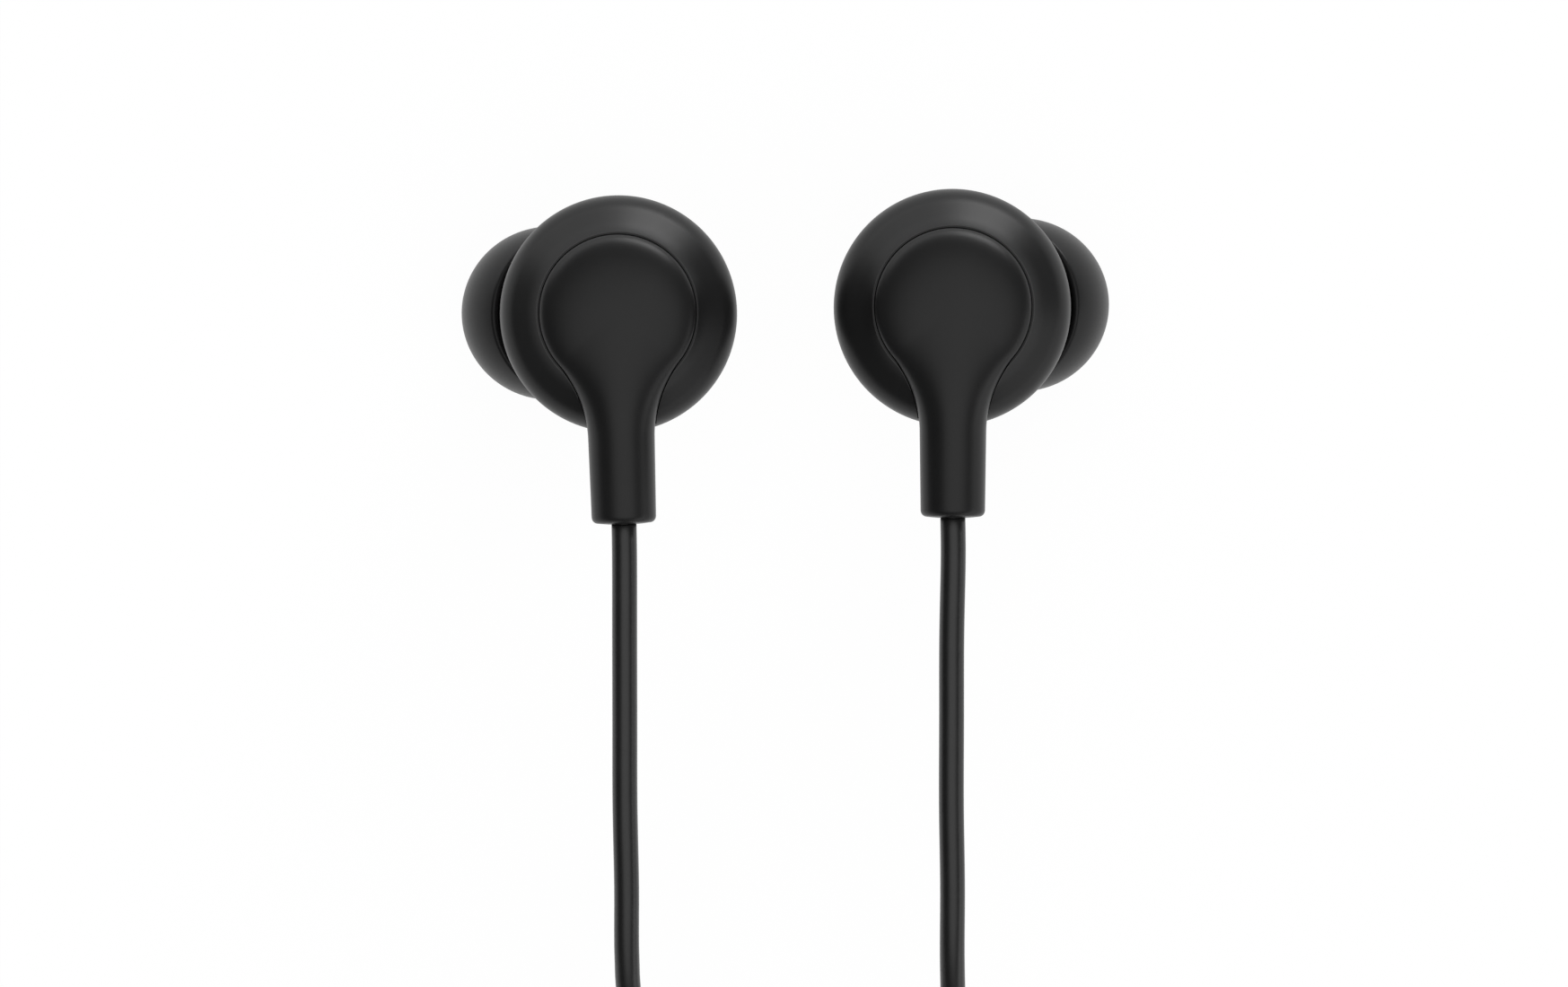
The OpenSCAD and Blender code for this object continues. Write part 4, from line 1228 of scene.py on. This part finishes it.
@dataclass
class Studio:
    """Camera, white table and soft lights. Sizes in metres."""

    aim: Pair = (-0.0001, -0.00976)
    camera_z: float = 0.7156
    lens: float = 224.3
    sensor: float = 36.0
    clip: Pair = (0.02, 20.0)
    table: float = 3.0
    table_white: float = 0.8
    table_glow: float = 1.03
    glow_share: float = 0.93
    room: float = 0.12

    def camera(self) -> None:
        """Camera straight above the buds, with the table's +Y up in the picture."""
        data = bpy.data.cameras.new("camera")
        data.lens, data.sensor_width = self.lens, self.sensor
        data.clip_start, data.clip_end = self.clip
        camera = bpy.data.objects.new("camera", data)
        camera.location = (*self.aim, self.camera_z)
        bpy.context.scene.collection.objects.link(camera)
        bpy.context.scene.camera = camera

    def floor(self) -> None:
        """White table that keeps the shadow.

        To the camera, to reflections and through clear things it is mostly plain white.
        """
        size = self.table
        mesh = bpy.data.meshes.new("floor")
        corners = [(-size, -size, 0), (size, -size, 0), (size, size, 0), (-size, size, 0)]
        mesh.from_pydata(corners, [], [(0, 1, 2, 3)])
        floor = bpy.data.objects.new("floor", mesh)
        bpy.context.scene.collection.objects.link(floor)
        coat = Coat("white_table")
        coat.set(Base_Color=(*grey(self.table_white), 1), Roughness=0.9, Specular_IOR_Level=0.1)
        rays = coat.add("LightPath").outputs
        either = coat.maths("MAXIMUM", rays["Is Camera Ray"], rays["Is Glossy Ray"])
        either = coat.maths("MAXIMUM", either, rays["Is Transmission Ray"])
        mix = coat.add("MixShader")
        coat.join(coat.maths("MULTIPLY", either, self.glow_share), mix.inputs[0])
        coat.join(coat.shader.outputs[0], mix.inputs[1])
        coat.join(coat.add("Emission", Strength=self.table_glow).outputs[0], mix.inputs[2])
        coat.join(mix.outputs[0], coat.tree.nodes["Material Output"].inputs["Surface"])
        mesh.materials.append(coat.material)

    def lights(self) -> None:
        """Lights the room by direction.

        Azimuth is the arctangent of y over x and the zenith angle the arccosine of z. A patch is
        the product of one smooth step up and one down in the zenith angle, and one smooth step in
        the distance from its middle azimuth.
        """
        world = bpy.data.worlds.new("room")
        world.use_nodes = True
        nodes = Nodes(world.node_tree)
        maths, step, degrees = nodes.maths, nodes.step, 180 / math.pi
        parts = nodes.add("SeparateXYZ")
        nodes.join(nodes.add("TexCoord").outputs["Generated"], parts.inputs[0])
        x, y, z = parts.outputs
        azimuth = maths("MULTIPLY", maths("ARCTAN2", y, x), degrees)
        zenith = maths("MULTIPLY", maths("ARCCOSINE", z), degrees)
        ceiling = Ceiling()
        along = 0.0
        for socket, share in zip((x, y, z), ceiling.axis()):
            along = maths("MULTIPLY_ADD", socket, share, along)
        off = maths("MULTIPLY", maths("ARCCOSINE", along), degrees)
        disc = step(off, ceiling.radius + ceiling.fade / 2, ceiling.radius - ceiling.fade / 2)
        total = maths("MULTIPLY_ADD", disc, ceiling.strength, self.room)
        for glow in GLOWS:
            middle, half = sum(glow.azimuth) / 2, (glow.azimuth[1] - glow.azimuth[0]) / 2
            wide, tall = glow.fade[0] / 2, glow.fade[1] / 2
            low, high = glow.zenith
            away = maths("WRAP", maths("SUBTRACT", azimuth, middle), 180.0, -180.0)
            across = step(maths("ABSOLUTE", away), half + wide, half - wide)
            below = step(zenith, low - tall, low + tall)
            above = step(zenith, high + tall, high - tall)
            patch = maths("MULTIPLY", maths("MULTIPLY", below, above), across)
            total = maths("MULTIPLY_ADD", patch, glow.strength, total)
        background = world.node_tree.nodes["Background"]
        nodes.join(total, background.inputs["Strength"])
        background.inputs["Color"].default_value = (1, 1, 1, 1)
        bpy.context.scene.world = world

    def build(self) -> None:
        """Sets up the view."""
        self.camera()
        self.floor()
        self.lights()
        bpy.context.scene.view_settings.view_transform = "Standard"


# ---------------------------------------------------------------- assembly


def main() -> None:
    """Builds the view, the fittings, the cords and then the buds."""
    logging.basicConfig(level=logging.INFO, format="%(name)s: %(message)s")
    Studio().build()
    left = Bud(Side.LEFT, (-11.96, 3.12, 15.588), 1.64)
    right = Bud(Side.RIGHT, (11.96, 3.58, 15.588), 0.0)
    cords, fittings = Cords(), Fittings()
    split = fittings.y_split()
    lead_tie = Tie("lead_coil_tie", cords.lead_coil, "lead_tie").build()
    main_tie = Tie("main_coil_tie", cords.main_coil, "main_tie").build()
    grip, relief = fittings.plug_body(), fittings.plug_relief()
    path, on_it = cords.left(left.stem_end()), [split, lead_tie]
    cords.lay("left_cord", path, "fitting", on_it, "left_lead", "lead_coil", "left_lead_run")
    path = cords.right(right.stem_end())
    cords.lay("right_cord", path, "fitting", [split], "right_lead", "right_lead_run")
    path, on_it = cords.main(), [main_tie, relief, grip, *fittings.contacts()]
    cords.lay("main_cord", path, "plug", on_it, "main_lead", "main_coil", "plug_cord")
    for bud in (left, right):
        bud.build()


if __name__ == "__main__":
    main()
